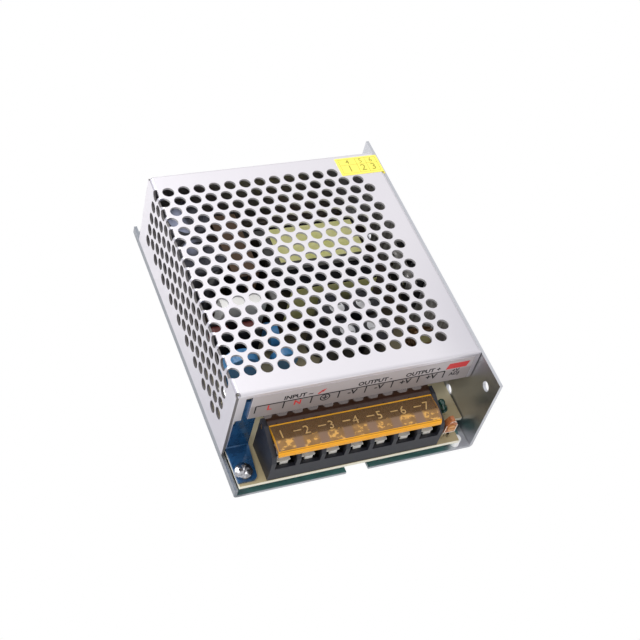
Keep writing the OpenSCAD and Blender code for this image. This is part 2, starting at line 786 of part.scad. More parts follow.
module transformer_core() color([0.15, 0.15, 0.17]) {
    translate([core_x, core_y, 0]) {
        core_half();
        rotate(180) core_half();
    }
}

coil_l = core_l - 2 * core_bar - 2 * coil_gap;
coil_w = core_w - 2 * core_leg - 2 * coil_gap;

// Bobbin: tube round the centre leg with a cheek at each end and a pin rail under each cheek
module transformer_bobbin() color([0.1, 0.1, 0.1]) {
    tube_t = 1;
    cheek = 1;
    translate([core_x, core_y, 0]) {
        difference() {
            union() {
                slab(-core_centre / 2 - coil_gap - tube_t, core_centre / 2 + coil_gap + tube_t,
                    -coil_l / 2, coil_l / 2, core_z + 4 - coil_gap - tube_t,
                    core_z + core_tall - 4 + coil_gap + tube_t);
                for (y = [-coil_l / 2, coil_l / 2 - cheek])
                    slab(-coil_w / 2, coil_w / 2, y, y + cheek, board_top, core_z + core_tall);
                for (y = [-core_l / 2 + 1, coil_l / 2 - cheek])
                    slab(-coil_w / 2, coil_w / 2, y, y + core_bar + coil_gap + cheek - 1,
                        board_top, core_z);
            }
            slab(-core_centre / 2 - coil_gap, core_centre / 2 + coil_gap, -core_l, core_l,
                core_z + 4 - coil_gap, core_z + core_tall - 4 + coil_gap);
        }
    }
}

module transformer_coil() color([0.85, 0.75, 0.25]) {
    inset = coil_l / 2 - 1;
    translate([core_x, core_y, 0]) difference() {
        along_y(-inset, inset) translate([-coil_w / 2, core_z]) plate(coil_w, core_tall, 1.5);
        slab(-core_centre / 2 - coil_gap - 1, core_centre / 2 + coil_gap + 1, -core_l, core_l,
            core_z + 4 - coil_gap - 1, core_z + core_tall - 4 + coil_gap + 1);
    }
}

// Tape round the sides of the two core halves, and a wide band over the coil and the legs
module transformer_tape() color([0.9, 0.85, 0.3]) {
    tape = 0.3;
    band_rear = core_l / 2 - 2.4;
    translate([core_x, core_y, 0]) {
        difference() {
            slab(-core_w / 2 - tape, core_w / 2 + tape, -core_l / 2 - tape, core_l / 2 + tape,
                core_z + 2, core_z + core_tall - 1.5);
            slab(-core_w / 2, core_w / 2, -core_l / 2, core_l / 2, 0, case_h);
        }
        difference() {
            slab(-core_w / 2 - tape, core_w / 2 + tape, -coil_l / 2, band_rear,
                core_z - tape, core_z + core_tall + tape);
            slab(-core_w / 2, core_w / 2, -core_l, core_l, core_z, core_z + core_tall);
            // room for the bobbin's cheeks and feet under the core
            slab(-coil_w / 2, coil_w / 2, -core_l, core_l, 0, core_z + 1);
        }
    }
}

// ---- Input side ----

choke_core_w = 15;
choke_leg = 3.6;
choke_bar = 3.4;
choke_core_h = 9;
choke_z = board_top + 5;
choke_flange_t = 0.8;
choke_turns = 1.5;
choke_coil_l = choke_l - 2 * choke_bar - 2 * choke_flange_t;

module choke_leg_bores(fit) {
    for (s = [-1, 1]) translate([s * (choke_core_w - choke_leg) / 2, 0, choke_core_h / 2])
        cube([choke_leg + 2 * fit, choke_l, choke_core_h + 2 * fit], center = true);
}

module at_choke() translate([choke_x, choke_y, choke_z]) children();

// Closed rectangular core of the input choke, lying level
module choke_core() color([0.2, 0.2, 0.22]) at_choke() difference() {
    slab(-choke_core_w / 2, choke_core_w / 2, -choke_l / 2, choke_l / 2, 0, choke_core_h);
    slab(choke_leg - choke_core_w / 2, choke_core_w / 2 - choke_leg,
        choke_bar - choke_l / 2, choke_l / 2 - choke_bar, -eps, choke_core_h + eps);
}

// Base and two flanges that carry the windings
module choke_bobbin() color([0.08, 0.08, 0.09]) at_choke() {
    flange_w = choke_core_w + 2 * choke_turns + 0.9;
    base_t = 2.4;
    difference() {
        for (y = [-choke_coil_l / 2 - choke_flange_t, choke_coil_l / 2])
            slab(-flange_w / 2, flange_w / 2, y, y + choke_flange_t, board_top - choke_z,
                choke_core_h + choke_turns + 1.4);
        choke_leg_bores(0.1);
    }
    slab(-flange_w / 2, flange_w / 2, -choke_coil_l / 2 - 0.1, choke_coil_l / 2 + 0.1,
        board_top - choke_z, board_top - choke_z + base_t);
}

module choke_windings() color([0.35, 0.12, 0.08]) at_choke() {
    fit = 0.15;
    coil = choke_coil_l - 0.2;
    for (s = [-1, 1]) translate([s * (choke_core_w - choke_leg) / 2, 0, 0]) difference() {
        along_y(-coil / 2, coil / 2) translate([-choke_leg / 2 - choke_turns - fit, -choke_turns - fit])
            plate(choke_leg + 2 * (choke_turns + fit), choke_core_h + 2 * (choke_turns + fit), 1.2);
        slab(-choke_leg / 2 - fit, choke_leg / 2 + fit, -coil, coil, -fit, choke_core_h + fit);
    }
}

module x_capacitor() color([0.93, 0.93, 0.9]) {
    translate([core_left - 1.4 - x_cap_w, x_cap_y, board_top])
        linear_extrude(14.8) plate(x_cap_w, x_cap_t, 0.6);
}

module y_capacitors() color([0.2, 0.5, 0.8]) {
    translate([board_left + 13.7, line_disc_y, board_top]) disc_part(line_disc_d, line_disc_t, 1);
    translate([board_left + 32.2, noise_disc_y - 11.9, board_top]) disc_part(10, 3.6, 1.4);
    translate([board_left + 31.1, noise_disc_y, board_top]) rotate(90) disc_part(10, 3.6, 1.4);
}

module varistor() color([0.6, 0.15, 0.12]) {
    translate([board_left + 21.5, fuse_y + 5, board_top]) disc_part(9, 3.6, 1.4);
}

module thermistor() color([0.15, 0.2, 0.15]) {
    translate([board_left + 21.5, fuse_y - 2, board_top]) disc_part(9, 4, 1.4);
}

module fuse() color([0.8, 0.85, 0.85]) {
    cap_l = 5.5;
    translate([fuse_x, fuse_y + fuse_l / 2, fuse_z]) rotate([90, 0, 0]) {
        cylinder(d = fuse_cap_d - 0.6, h = fuse_l, $fn = 32);
        for (z = [0, fuse_l - cap_l]) translate([0, 0, z]) cylinder(d = fuse_cap_d, h = cap_l, $fn = 32);
    }
}

// Spring clips that hold the fuse by its end caps
module fuse_clips() color([0.85, 0.8, 0.6]) {
    for (y = [fuse_y - fuse_l / 2 + 0.6, fuse_y + fuse_l / 2 - 4.6]) difference() {
        along_y(y, y + 4) union() {
            translate([fuse_x, fuse_z]) circle(d = fuse_cap_d + 1, $fn = 40);
            translate([fuse_x - 3.1, board_top]) square([6.2, 2.4]);
        }
        along_y(y - eps, y + 4 + eps) translate([fuse_x, fuse_z]) {
            circle(d = fuse_cap_d + 0.1, $fn = 32);
            translate([-1.9, 0]) square([3.8, 6]);
        }
    }
}

// Folded heatsink plate of the rectifier, standing on two tabs
module heatsink() color([0.07, 0.07, 0.08]) {
    top = board_top + 24.4;
    along_y(heatsink_y, heatsink_y + heatsink_l) {
        translate([heatsink_x - heatsink_t, board_top + 2]) square([heatsink_t, top - board_top - 2]);
        translate([heatsink_x - heatsink_reach, top - heatsink_t]) square([heatsink_reach, heatsink_t]);
    }
    for (y = [heatsink_y + 4, heatsink_y + heatsink_l - 7])
        slab(heatsink_x - heatsink_t, heatsink_x, y, y + 3, board_top, board_top + 3);
}

module bridge_rectifier() color([0.1, 0.1, 0.11]) {
    body_t = 5;
    x = heatsink_x - heatsink_t - body_t;
    y = heatsink_y + 4;
    translate([x, y, board_top + 3]) cube([body_t, 22, 17]);
    for (k = [0 : 3]) translate([x + body_t / 2, y + 2.6 + k * 5.6, board_top])
        cylinder(d = 1, h = 4, $fn = 16);
}

module bulk_capacitors() color([0.25, 0.27, 0.33]) {
    for (k = [0, 1]) translate([bulk_x, bulk_front + bulk_d / 2 + k * (bulk_d + bulk_gap), board_top])
        can(bulk_d, bulk_h);
}

// ---- Output side ----

module output_capacitors() color([0.12, 0.12, 0.14]) {
    for (i = [-1, 1], j = [-1, 1])
        translate([out_x + i * out_pitch / 2, out_y + j * out_pitch / 2, board_top]) can(out_d, out_h);
}

// Frame of the toroid, which stands on edge: its axis along X, local x upwards
module at_toroid() translate([toroid_x, toroid_y, board_top + toroid_r]) rotate([0, -90, 0]) children();

module toroid_core() color([0.85, 0.8, 0.3]) at_toroid() {
    translate([0, 0, -3]) difference() {
        cylinder(d = 16, h = 6, $fn = 64);
        translate([0, 0, -eps]) cylinder(d = 9, h = 6 + 2 * eps, $fn = 48);
    }
}

// Turns of round wire, each a closed loop round the toroid's section
module toroid_winding() color([0.72, 0.4, 0.2]) at_toroid() {
    wire = 1.1;
    for (a = [20 : 20 : 340]) rotate(a)
        translate([6.25, wire / 2, 0]) rotate([90, 0, 0]) linear_extrude(wire) difference() {
            translate([-1.85 - wire, -3.1 - wire]) plate(3.7 + 2 * wire, 6.2 + 2 * wire, 1);
            translate([-1.85, -3.1]) square([3.7, 6.2]);
        }
}

module power_transistors() color([0.1, 0.1, 0.11]) {
    for (y = device_y) difference() {
        translate([clamp_x, y - device_w / 2, device_z]) cube([device_t, device_w, device_h]);
        translate([clamp_x - eps, y, device_z + device_h - 3.5]) rotate([0, 90, 0])
            cylinder(d = m3_clear, h = device_t + 2 * eps, $fn = 24);
    }
}

module transistor_leads() color([0.8, 0.8, 0.8]) {
    for (y = device_y, k = [-1, 0, 1]) translate([wall_in - pad_t - 2.8, y + k * 2.54 - 0.4, board_top])
        cube([0.6, 0.8, device_z - board_top]);
}

module insulator_pads() color([0.7, 0.7, 0.72]) {
    edge = 0.8;
    for (y = device_y) difference() {
        translate([wall_in - pad_t, y - device_w / 2 - edge, device_z - edge])
            cube([pad_t, device_w + 2 * edge, device_h + 2 * edge]);
        translate([wall_in - 1, y, device_z + device_h - 3.5]) rotate([0, 90, 0])
            cylinder(d = m3_clear, h = 2, $fn = 24);
    }
}

module clamp_bar() color([0.75, 0.76, 0.78]) {
    difference() {
        slab(clamp_x - 2, clamp_x, device_y[0] - 5, device_y[1] + 5,
            device_z + device_h - 7.5, device_z + device_h + 0.5);
        for (y = device_y) translate([clamp_x - 3, y, device_z + device_h - 3.5]) rotate([0, 90, 0])
            cylinder(d = m3_clear, h = 4, $fn = 24);
    }
}

module clamp_screws() color([0.8, 0.8, 0.82]) {
    for (y = device_y) translate([clamp_x - 2, y, device_z + device_h - 3.5]) rotate([0, -90, 0])
        pan_screw(m3, m3_head, 2 + device_t + pad_t + chassis_t - 0.2);
}

module small_capacitor() color([0.15, 0.16, 0.2]) {
    translate([board_right - 12.9, small_cap_y, board_top]) can(8, 18.7);
}

module optocoupler() color([0.92, 0.92, 0.9]) {
    translate([core_left + 19.8, opto_y, board_top]) {
        translate([0, 0.6, 0.6]) cube([6.4, 4.6, 3.2]);
        for (x = [1.5, 4.1], y = [0, opto_l - 0.7]) translate([x, y, 0]) cube([0.8, 0.7, 2.4]);
    }
}

module controller_chip() color([0.12, 0.12, 0.13]) {
    translate([core_left + 3.8, chip_y, board_top]) {
        translate([0, 0.6, 0.6]) cube([19.6, chip_l - 1.3, 3.4]);
        for (k = [0 : 7], y = [0, chip_l - 0.8]) translate([0.7 + k * 2.54, y, 0]) cube([0.6, 0.8, 2.6]);
    }
}

// Resistors lying on the board, each with its leads bent down
module resistors() color([0.75, 0.62, 0.42]) {
    places = [[28, chip_y + 3.6], [37, chip_y + 6.6], [5.8, out_y - 16.9], [5.8, out_y - 22.9]];
    for (p = places) translate([core_left + p[0], p[1], board_top + 1.3]) {
        rotate([0, 90, 0]) cylinder(d = 2.6, h = 6.4, center = true, $fn = 24);
        for (s = [-1, 1]) translate([s * 3.6, 0, -1.3]) cylinder(d = 0.7, h = 1.5, $fn = 16);
        rotate([0, 90, 0]) cylinder(d = 0.7, h = 7.4, center = true, $fn = 16);
    }
}

chassis();
vent_cover();
cover_screws();
fascia_label();
seal_sticker();
insulation_sheet();
circuit_board();
standoffs();
board_screws();
corner_spacer();
earth_bracket();
bracket_screw();
terminal_block();
terminal_contacts();
wire_clamps();
terminal_screws();
terminal_lid();
power_led();
led_leads();
trimmer_body();
trimmer_pins();
trimmer_rotor();
transformer_core();
transformer_bobbin();
transformer_coil();
transformer_tape();
choke_core();
choke_bobbin();
choke_windings();
x_capacitor();
y_capacitors();
varistor();
thermistor();
fuse();
fuse_clips();
bridge_rectifier();
heatsink();
bulk_capacitors();
output_capacitors();
toroid_core();
toroid_winding();
power_transistors();
transistor_leads();
insulator_pads();
clamp_bar();
clamp_screws();
small_capacitor();
optocoupler();
controller_chip();
resistors();
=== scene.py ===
"""Looks of an enclosed switching power supply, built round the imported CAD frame.

Every CAD node keeps its shape and gets a procedural material. Printed marks, raised figures
and the thinnest forms on the terminal block are mesh pieces of their own that ride on the CAD
bodies. Sizes are in millimetres until a mesh is made; the frame itself is in metres.
"""

import logging
import math
from dataclasses import dataclass, field
from enum import Enum

import bmesh
import bpy
from mathutils import Matrix, Vector

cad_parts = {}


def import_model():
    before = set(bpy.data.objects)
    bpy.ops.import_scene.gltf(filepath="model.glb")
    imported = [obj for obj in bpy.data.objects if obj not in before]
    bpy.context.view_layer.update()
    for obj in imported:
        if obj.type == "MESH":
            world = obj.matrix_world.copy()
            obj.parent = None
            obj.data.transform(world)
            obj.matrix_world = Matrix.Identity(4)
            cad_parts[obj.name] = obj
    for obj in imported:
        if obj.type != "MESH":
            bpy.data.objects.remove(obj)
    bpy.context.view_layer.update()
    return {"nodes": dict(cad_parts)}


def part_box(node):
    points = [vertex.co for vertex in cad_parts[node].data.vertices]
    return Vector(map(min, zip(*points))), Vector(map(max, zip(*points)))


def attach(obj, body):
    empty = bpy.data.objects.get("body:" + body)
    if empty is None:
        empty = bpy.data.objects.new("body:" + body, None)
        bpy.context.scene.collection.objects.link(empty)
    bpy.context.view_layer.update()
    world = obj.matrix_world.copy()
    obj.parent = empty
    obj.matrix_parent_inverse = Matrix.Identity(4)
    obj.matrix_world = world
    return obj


LOG = logging.getLogger("scene")
MM = 0.001

TERMINALS = 7
TERMINAL_PITCH = 9.5

RGB = tuple[float, float, float]
Point = tuple[float, float, float]
Spot = tuple[float, float]


class Body(str, Enum):
    """The CAD bodies that a piece can ride on."""

    ROOT = "root"
    LID = "lid"


class Plane(Enum):
    """Flat places that shapes are laid on, as the directions of their right and up."""

    FRONT = ((1, 0, 0), (0, 0, 1))
    TOP = ((1, 0, 0), (0, 1, 0))
    SIDE = ((0, 1, 0), (0, 0, 1))


# ---- shader sums


@dataclass(frozen=True)
class Sock:
    """An output socket of a graph's node, which takes part in sums as a number does."""

    graph: "Graph"
    raw: bpy.types.NodeSocket

    def __add__(self, other: "Value") -> "Sock":
        """Returns this plus other."""
        return self.graph.math("ADD", self, other)

    __radd__ = __add__

    def __sub__(self, other: "Value") -> "Sock":
        """Returns this minus other."""
        return self.graph.math("SUBTRACT", self, other)

    def __rsub__(self, other: "Value") -> "Sock":
        """Returns other minus this."""
        return self.graph.math("SUBTRACT", other, self)

    def __mul__(self, other: "Value") -> "Sock":
        """Returns this times other."""
        return self.graph.math("MULTIPLY", self, other)

    __rmul__ = __mul__

    def __neg__(self) -> "Sock":
        """Returns this with its sign turned."""
        return self * -1.0

    def __abs__(self) -> "Sock":
        """Returns this without its sign."""
        return self.graph.math("ABSOLUTE", self, 0.0)

    def __gt__(self, other: "Value") -> "Sock":
        """Returns 1 where this is above other, else 0."""
        return self.graph.math("GREATER_THAN", self, other)

    def __lt__(self, other: "Value") -> "Sock":
        """Returns 1 where this is below other, else 0."""
        return self.graph.math("LESS_THAN", self, other)

    def __and__(self, other: "Value") -> "Sock":
        """Returns the smaller of the two, which is AND for masks."""
        return self.graph.math("MINIMUM", self, other)

    def __or__(self, other: "Value") -> "Sock":
        """Returns the larger of the two, which is OR for masks."""
        return self.graph.math("MAXIMUM", self, other)

    def within(self, low: float, high: float) -> "Sock":
        """Returns 1 where this lies between low and high, else 0."""
        return (self > low) & (self < high)

    def ramp(self, low: float, high: float) -> "Sock":
        """Maps low..high to 0..1 with a soft start and end.

        Args:
            low: Value that gives 0.
            high: Value that gives 1.

        Returns:
            The mapped socket.
        """
        made = self.graph.make(
            "ShaderNodeMapRange",
            {"interpolation_type": "SMOOTHSTEP"},
            {"Value": self, "From Min": low, "From Max": high},
        )
        return Sock(self.graph, made.outputs["Result"])


Value = float | Sock


class Graph:
    """The node tree of one material or of the world, with short ways to add nodes."""

    def __init__(self, owner: bpy.types.Material | bpy.types.World) -> None:
        """Empties the owner's tree.

        Args:
            owner: What the tree shades.
        """
        self.owner = owner
        owner.use_nodes = True
        self.tree = owner.node_tree
        self.tree.nodes.clear()
        self._parts: dict[str, dict[str, Sock]] = {}

    @staticmethod
    def material(name: str) -> "Graph":
        """Returns the graph of a new material."""
        return Graph(bpy.data.materials.new(name))

    def make(self, kind: str, settings: dict, inputs: dict) -> bpy.types.Node:
        """Adds any node.

        Args:
            kind: Blender's type name.
            settings: Attributes of the node.
            inputs: Input name or number to a constant or a Sock.

        Returns:
            The node.
        """
        node = self.tree.nodes.new(kind)
        for key, value in settings.items():
            setattr(node, key, value)
        for key, value in inputs.items():
            if isinstance(value, Sock):
                self.tree.links.new(value.raw, node.inputs[key])
            elif isinstance(value, tuple) and len(value) == 3 and node.inputs[key].type == "RGBA":
                node.inputs[key].default_value = (*value, 1.0)
            else:
                node.inputs[key].default_value = value
        return node

    def math(self, how: str, a: Value, b: Value) -> Sock:
        """Returns the result of one sum, such as ADD, on a and b."""
        return Sock(self, self.make("ShaderNodeMath", {"operation": how}, {0: a, 1: b}).outputs[0])

    def axes(self, output: str, scale: float) -> dict[str, Sock]:
        """Splits a texture coordinate once.

        Args:
            output: Its name.
            scale: Factor on each part.

        Returns:
            The parts X, Y and Z.
        """
        if output not in self._parts:
            where = self.make("ShaderNodeTexCoord", {}, {})
            split = self.make("ShaderNodeSeparateXYZ", {}, {0: Sock(self, where.outputs[output])})
            self._parts[output] = {name: Sock(self, split.outputs[name]) * scale for name in "XYZ"}
        return self._parts[output]

    def place(self, axis: str) -> Sock:
        """Returns a coordinate of the frame in millimetres, axis X, Y or Z."""
        return self.axes("Object", 1.0 / MM)[axis]

    def facing(self, axis: str) -> Sock:
        """Returns the surface's direction along an axis, from -1 to 1."""
        return self.axes("Normal", 1.0)[axis]

    def noise(self, stretch: float | Point, detail: float = 3.0, rough: float = 0.5) -> Sock:
        """Adds soft noise.

        Args:
            stretch: Size of a blot in millimetres, or its sizes along X, Y and Z.
            detail: Octaves.
            rough: Weight of the fine octaves.

        Returns:
            Noise from 0 to 1.
        """
        sizes = stretch if isinstance(stretch, tuple) else (stretch,) * 3
        parts = {i: self.place(a) * (1.0 / s) for i, (a, s) in enumerate(zip("XYZ", sizes))}
        scaled = self.make("ShaderNodeCombineXYZ", {}, parts)
        made = self.make(
            "ShaderNodeTexNoise",
            {},
            {"Vector": Sock(self, scaled.outputs[0]), "Scale": 1.0, "Detail": detail,
             "Roughness": rough},
        )
        return Sock(self, made.outputs[0])

    def blend(self, share: Value, a: "RGB | Sock", b: "RGB | Sock") -> Sock:
        """Returns colour a turning to colour b as share goes from 0 to 1."""
        made = self.make("ShaderNodeMix", {"data_type": "RGBA"}, {0: share, 6: a, 7: b})
        return Sock(self, made.outputs[2])

    def bump(self, height: Sock, depth_mm: float) -> Sock:
        """Returns a normal pressed by a height of 0 to 1, whose 1 is depth_mm deep."""
        inputs = {"Height": height, "Distance": depth_mm * MM, "Strength": 1.0}
        return Sock(self, self.make("ShaderNodeBump", {}, inputs).outputs[0])

    def surface(self, inputs: dict) -> bpy.types.Node:
        """Adds a Principled surface and returns its node."""
        return self.make("ShaderNodeBsdfPrincipled", {}, inputs)

    def mix(self, share: Value, a: bpy.types.Node, b: bpy.types.Node) -> bpy.types.Node:
        """Returns a shader that turns from a to b as share goes from 0 to 1."""
        both = {1: Sock(self, a.outputs[0]), 2: Sock(self, b.outputs[0])}
        return self.make("ShaderNodeMixShader", {}, {0: share, **both})

    def close(self, shader: bpy.types.Node) -> bpy.types.Material | bpy.types.World:
        """Joins the shader to the output.

        Args:
            shader: The node that gives the whole look.

        Returns:
            The material or the world.
        """
        world = isinstance(self.owner, bpy.types.World)
        kind = "ShaderNodeOutputWorld" if world else "ShaderNodeOutputMaterial"
        self.make(kind, {}, {"Surface": Sock(self, shader.outputs[0])})
        return self.owner


# ---- finishes


@dataclass(frozen=True)
class Layer:
    """A colour over what lies below it where its share is 1, maybe with other metal or gloss."""

    share: Sock
    colour: RGB | Sock
    metal: float | None = None
    rougher: float = 0.0


@dataclass(frozen=True)
class Finish:
    """A surface of one stuff, with blots of a second colour, a fine grain and uneven gloss."""

    colour: RGB
    stain: RGB
    rough: float
    metal: float = 0.0
    blot: float | Point = 14.0
    stain_share: float = 0.5
    rough_spread: float = 0.12
    grain: float | Point = 0.25
    grain_depth: float = 0.004
    coat: float = 0.0
    ior: float = 1.5
    extra: tuple = ()

    def layers(self, g: Graph) -> list[Layer]:
        """Returns what lies over the stuff's own look, lowest first."""
        return []

    def ground(self, g: Graph) -> dict:
        """Works out the stuff's own look.

        Args:
            g: The material's graph.

        Returns:
            The inputs of a Principled surface by name.
        """
        blots = g.noise(self.blot, 4.0, 0.6).ramp(0.3, 0.7)
        grain = g.noise(self.grain, 2.0, 0.6)
        spread = self.rough_spread / 2
        inputs = {
            "Base Color": g.blend(blots * self.stain_share, self.colour, self.stain),
            "Roughness": (blots + grain) * spread + (self.rough - spread),
            "Metallic": self.metal,
            "IOR": self.ior,
            "Coat Weight": self.coat,
            "Normal": g.bump(grain, self.grain_depth),
        }
        return inputs | dict(self.extra)

    def surface(self, g: Graph) -> bpy.types.Node:
        """Adds the surface with its layers.

        Args:
            g: The material's graph.

        Returns:
            Its node.
        """
        inputs = self.ground(g)
        for layer in self.layers(g):
            share, metal = layer.share, inputs["Metallic"]
            inputs["Base Color"] = g.blend(share, inputs["Base Color"], layer.colour)
            if layer.metal is not None:
                inputs["Metallic"] = share * (layer.metal - metal) + metal
            if layer.rougher:
                inputs["Roughness"] = inputs["Roughness"] + share * layer.rougher
        return g.surface(inputs)

    def build(self, name: str) -> bpy.types.Material:
        """Makes the material and returns it."""
        g = Graph.material(name)
        return g.close(self.surface(g))


@dataclass(frozen=True)
class SheetFinish(Finish):
    """Rolled metal sheet: fine lines along the rolling direction, soft stains, faint scratches."""

    def ground(self, g: Graph) -> dict:
        """Adds the rolling lines.

        Args:
            g: The material's graph.

        Returns:
            The inputs by name.
        """
        inputs = super().ground(g)
        lines = g.noise((0.12, 9.0, 0.12), 2.0, 0.7)
        clouds = g.noise((38.0, 30.0, 26.0), 2.0, 0.5).ramp(0.3, 0.7)
        stained = lines * 0.25 + clouds * self.stain_share
        inputs["Base Color"] = g.blend(stained, self.colour, self.stain)
        inputs["Roughness"] = (
            lines * self.rough_spread + clouds * (self.rough_spread / 2) + self.rough
        )
        inputs["Normal"] = g.bump(lines, self.grain_depth)
        return inputs


@dataclass(frozen=True)
class CoverFinish(SheetFinish):
    """The cover's sheet, with painted shade on its left side towards the front, along the long
    fold, on the top's right front and in the hole walls.
    """

    # Colour of the painted shade on the left side, the fold and the top's right front.
    painted_shade: RGB = (0.5, 0.49, 0.54)
    # Hole walls: bare cut metal, coloured darker as painted shade, darkest in the side holes.
    top_hole_wall_shade: RGB = (0.5, 0.49, 0.5)
    side_hole_wall_shade: RGB = (0.16, 0.15, 0.15)
    sheet: float = 1.02
    left: float = -48.5
    right_end: float = 40.0
    front: float = -62.0
    clear_of_front: float = 4.0
    rear_end: float = 60.0
    painted_shade_from: float = 30.0
    top: float = 40.0
    cut_metal: float = 0.25
    fold_rougher: float = 0.2444

    def layers(self, g: Graph) -> list[Layer]:
        """Adds the painted shade, and the walls of the holes, which are bare cut metal with painted
        shade.

        Args:
            g: The material's graph.

        Returns:
            The layers, lowest first.
        """
        x, y, z = g.place("X"), g.place("Y"), g.place("Z")
        leftward, upward = -g.facing("X"), g.facing("Z")
        # Painted shade: the left side darker towards the front, the long fold dulled where it
        # catches the lamps, and the top's right front.
        nearer = (-y).ramp(-self.painted_shade_from, -self.front)
        side = leftward.ramp(0.3, 0.95) * (nearer * 0.55 + 0.12)
        fold = leftward.ramp(0.12, 0.5) * upward.ramp(0.12, 0.5)
        corner = x.ramp(22.0, 48.0) * nearer * upward.ramp(0.6, 0.9)
        holed = x.within(self.left + 2.5, self.right_end)
        holed = holed & y.within(self.front + self.clear_of_front, self.rear_end)
        # Hole walls: bare cut metal with painted shade, darker in the side holes than in the top
        # ones.
        top_cut = holed & (z > self.top - self.sheet) & (abs(upward) < 0.3)
        side_cut = (x < self.left + self.sheet) & (z < self.top - 0.6) & (abs(leftward) < 0.3)
        return [
            Layer(side, self.painted_shade),
            Layer(fold * 0.9, self.painted_shade, rougher=self.fold_rougher),
            Layer(corner * 0.45, self.painted_shade),
            Layer(top_cut, self.top_hole_wall_shade, self.cut_metal),
            Layer(side_cut, self.side_hole_wall_shade, self.cut_metal),
        ]


@dataclass(frozen=True)
class ChassisFinish(SheetFinish):
    """The chassis sheet, with painted shade along its left lip, and streaky inside its right wall.
    """

    # Colour of the painted shade on the left lip.
    dark: RGB = (0.24, 0.26, 0.29)
    streak_low: RGB = (0.3, 0.29, 0.28)
    streak_high: RGB = (0.62, 0.61, 0.6)
    streak_metal: float = 0.3
    lip_x: float = -44.0
    wall_x: float = 40.0
    covered: Spot = (-40.0, 55.0)

    def layers(self, g: Graph) -> list[Layer]:
        """Adds the painted shade on the lip, and the streaks.

        Args:
            g: The material's graph.

        Returns:
            The layers, lowest first.
        """
        x = g.place("X")
        # Painted shade: the left lip darkened.
        lip = (-x).ramp(-self.lip_x - 2.0, -self.lip_x + 2.0) * 0.8
        inner = (g.facing("X") < -0.5) & (x > self.wall_x) & g.place("Y").within(*self.covered)
        streaks = g.noise((9.0, 1.8, 12.0), 2.0, 0.6).ramp(0.35, 0.65)
        streaky = g.blend(streaks, self.streak_low, self.streak_high)
        return [Layer(lip, self.dark), Layer(inner, streaky, self.streak_metal)]


@dataclass(frozen=True)
class BlockFinish(Finish):
    """Moulded block, with painted shade down in its wire pockets."""

    # Colour of the painted shade in the pockets.
    pocket_shade: RGB = (0.003, 0.003, 0.003)
    front: float = -62.6
    sides: Spot = (-36.6, 31.6)
    end_wall: float = 1.2

    def layers(self, g: Graph) -> list[Layer]:
        """Adds the painted shade in the pockets.

        Args:
            g: The material's graph.

        Returns:
            The layers, lowest first.
        """
        low, high = self.sides
        inside = g.place("X").within(low + self.end_wall, high - self.end_wall)
        # Painted shade: the faces behind the front that do not face forward.
        deep = inside & (g.place("Y") > self.front) & (1.0 - (g.facing("Y") < -0.25))
        return [Layer(deep, self.pocket_shade)]


@dataclass(frozen=True)
class CanFinish(Finish):
    """Sleeved cans: the sleeve turns over the rim, bare metal shows inside it on the top, and a
    bluish highlight can be painted on its left.
    """

    top_z: float = 30.0
    rim: float = 2.2
    middle: Spot = (0.0, 0.0)
    spread: Spot = (0.0, 0.0)
    bare_r: float = 5.0
    bare_metal: float = 0.8
    metal_colour: RGB = (0.86, 0.86, 0.88)
    brushed_colour: RGB = (0.7, 0.7, 0.73)
    # Painted highlight: a bluish sheen on the left of the bare tops.
    sheen: RGB = (0.42, 0.45, 0.6)
    sheen_x: float = -100.0
    sheen_y: Spot = (20.0, 26.0)

    def layers(self, g: Graph) -> list[Layer]:
        """Adds the bare tops, with a painted sheen towards their left.

        Args:
            g: The material's graph.

        Returns:
            The layers, lowest first.
        """
        off_x = abs(g.place("X") - self.middle[0]) - self.spread[0]
        off_y = abs(g.place("Y") - self.middle[1]) - self.spread[1]
        near = off_x * off_x + off_y * off_y < self.bare_r**2
        bare = (g.facing("Z") > 0.6) & (g.place("Z") > self.top_z - self.rim) & near
        brushed = g.noise((0.2, 3.0, 1.0), 2.0, 0.6)
        tops = g.blend(brushed, self.metal_colour, self.brushed_colour)
        # Painted sheen towards the left of the tops.
        leftward = (-g.place("X")).ramp(-self.sheen_x, 4.0 - self.sheen_x)
        shine = leftward * g.place("Y").ramp(*self.sheen_y) * 0.9
        return [Layer(bare, g.blend(shine, tops, self.sheen), self.bare_metal)]


@dataclass(frozen=True)
class FilmBoxFinish(Finish):
    """Bright white potted box with a painted glow on its top, which emits light though it is no
    lamp.
    """

    # Colour of the painted glow on the top.
    painted_top_glow: RGB = (1.0, 0.98, 0.95)
    strength: float = 0.4

    def ground(self, g: Graph) -> dict:
        """Adds the painted glow on the top.

        Args:
            g: The material's graph.

        Returns:
            The inputs by name.
        """
        inputs = super().ground(g)
        # Painted glow: emission on the faces that look up.
        inputs["Emission Color"] = g.blend(g.facing("Z").ramp(0.4, 0.8), (0.0, 0.0, 0.0), self.painted_top_glow)
        inputs["Emission Strength"] = self.strength
        return inputs


@dataclass(frozen=True)
class TapeFinish(Finish):
    """Wound polyester tape; past its ends on the top the core shows dark."""

    ends: Spot = (0.0, 30.0)
    top: float = 30.0
    left: float = -9.0
    bare: RGB = (0.014, 0.012, 0.01)

    def layers(self, g: Graph) -> list[Layer]:
        """Adds the dark core.

        Args:
            g: The material's graph.

        Returns:
            The layers, lowest first.
        """
        y = g.place("Y")
        past = (g.place("Z") > self.top - 0.6) & ((y < self.ends[0]) | (y > self.ends[1]))
        past = past | (g.place("X") < self.left)
        return [Layer(past, self.bare)]


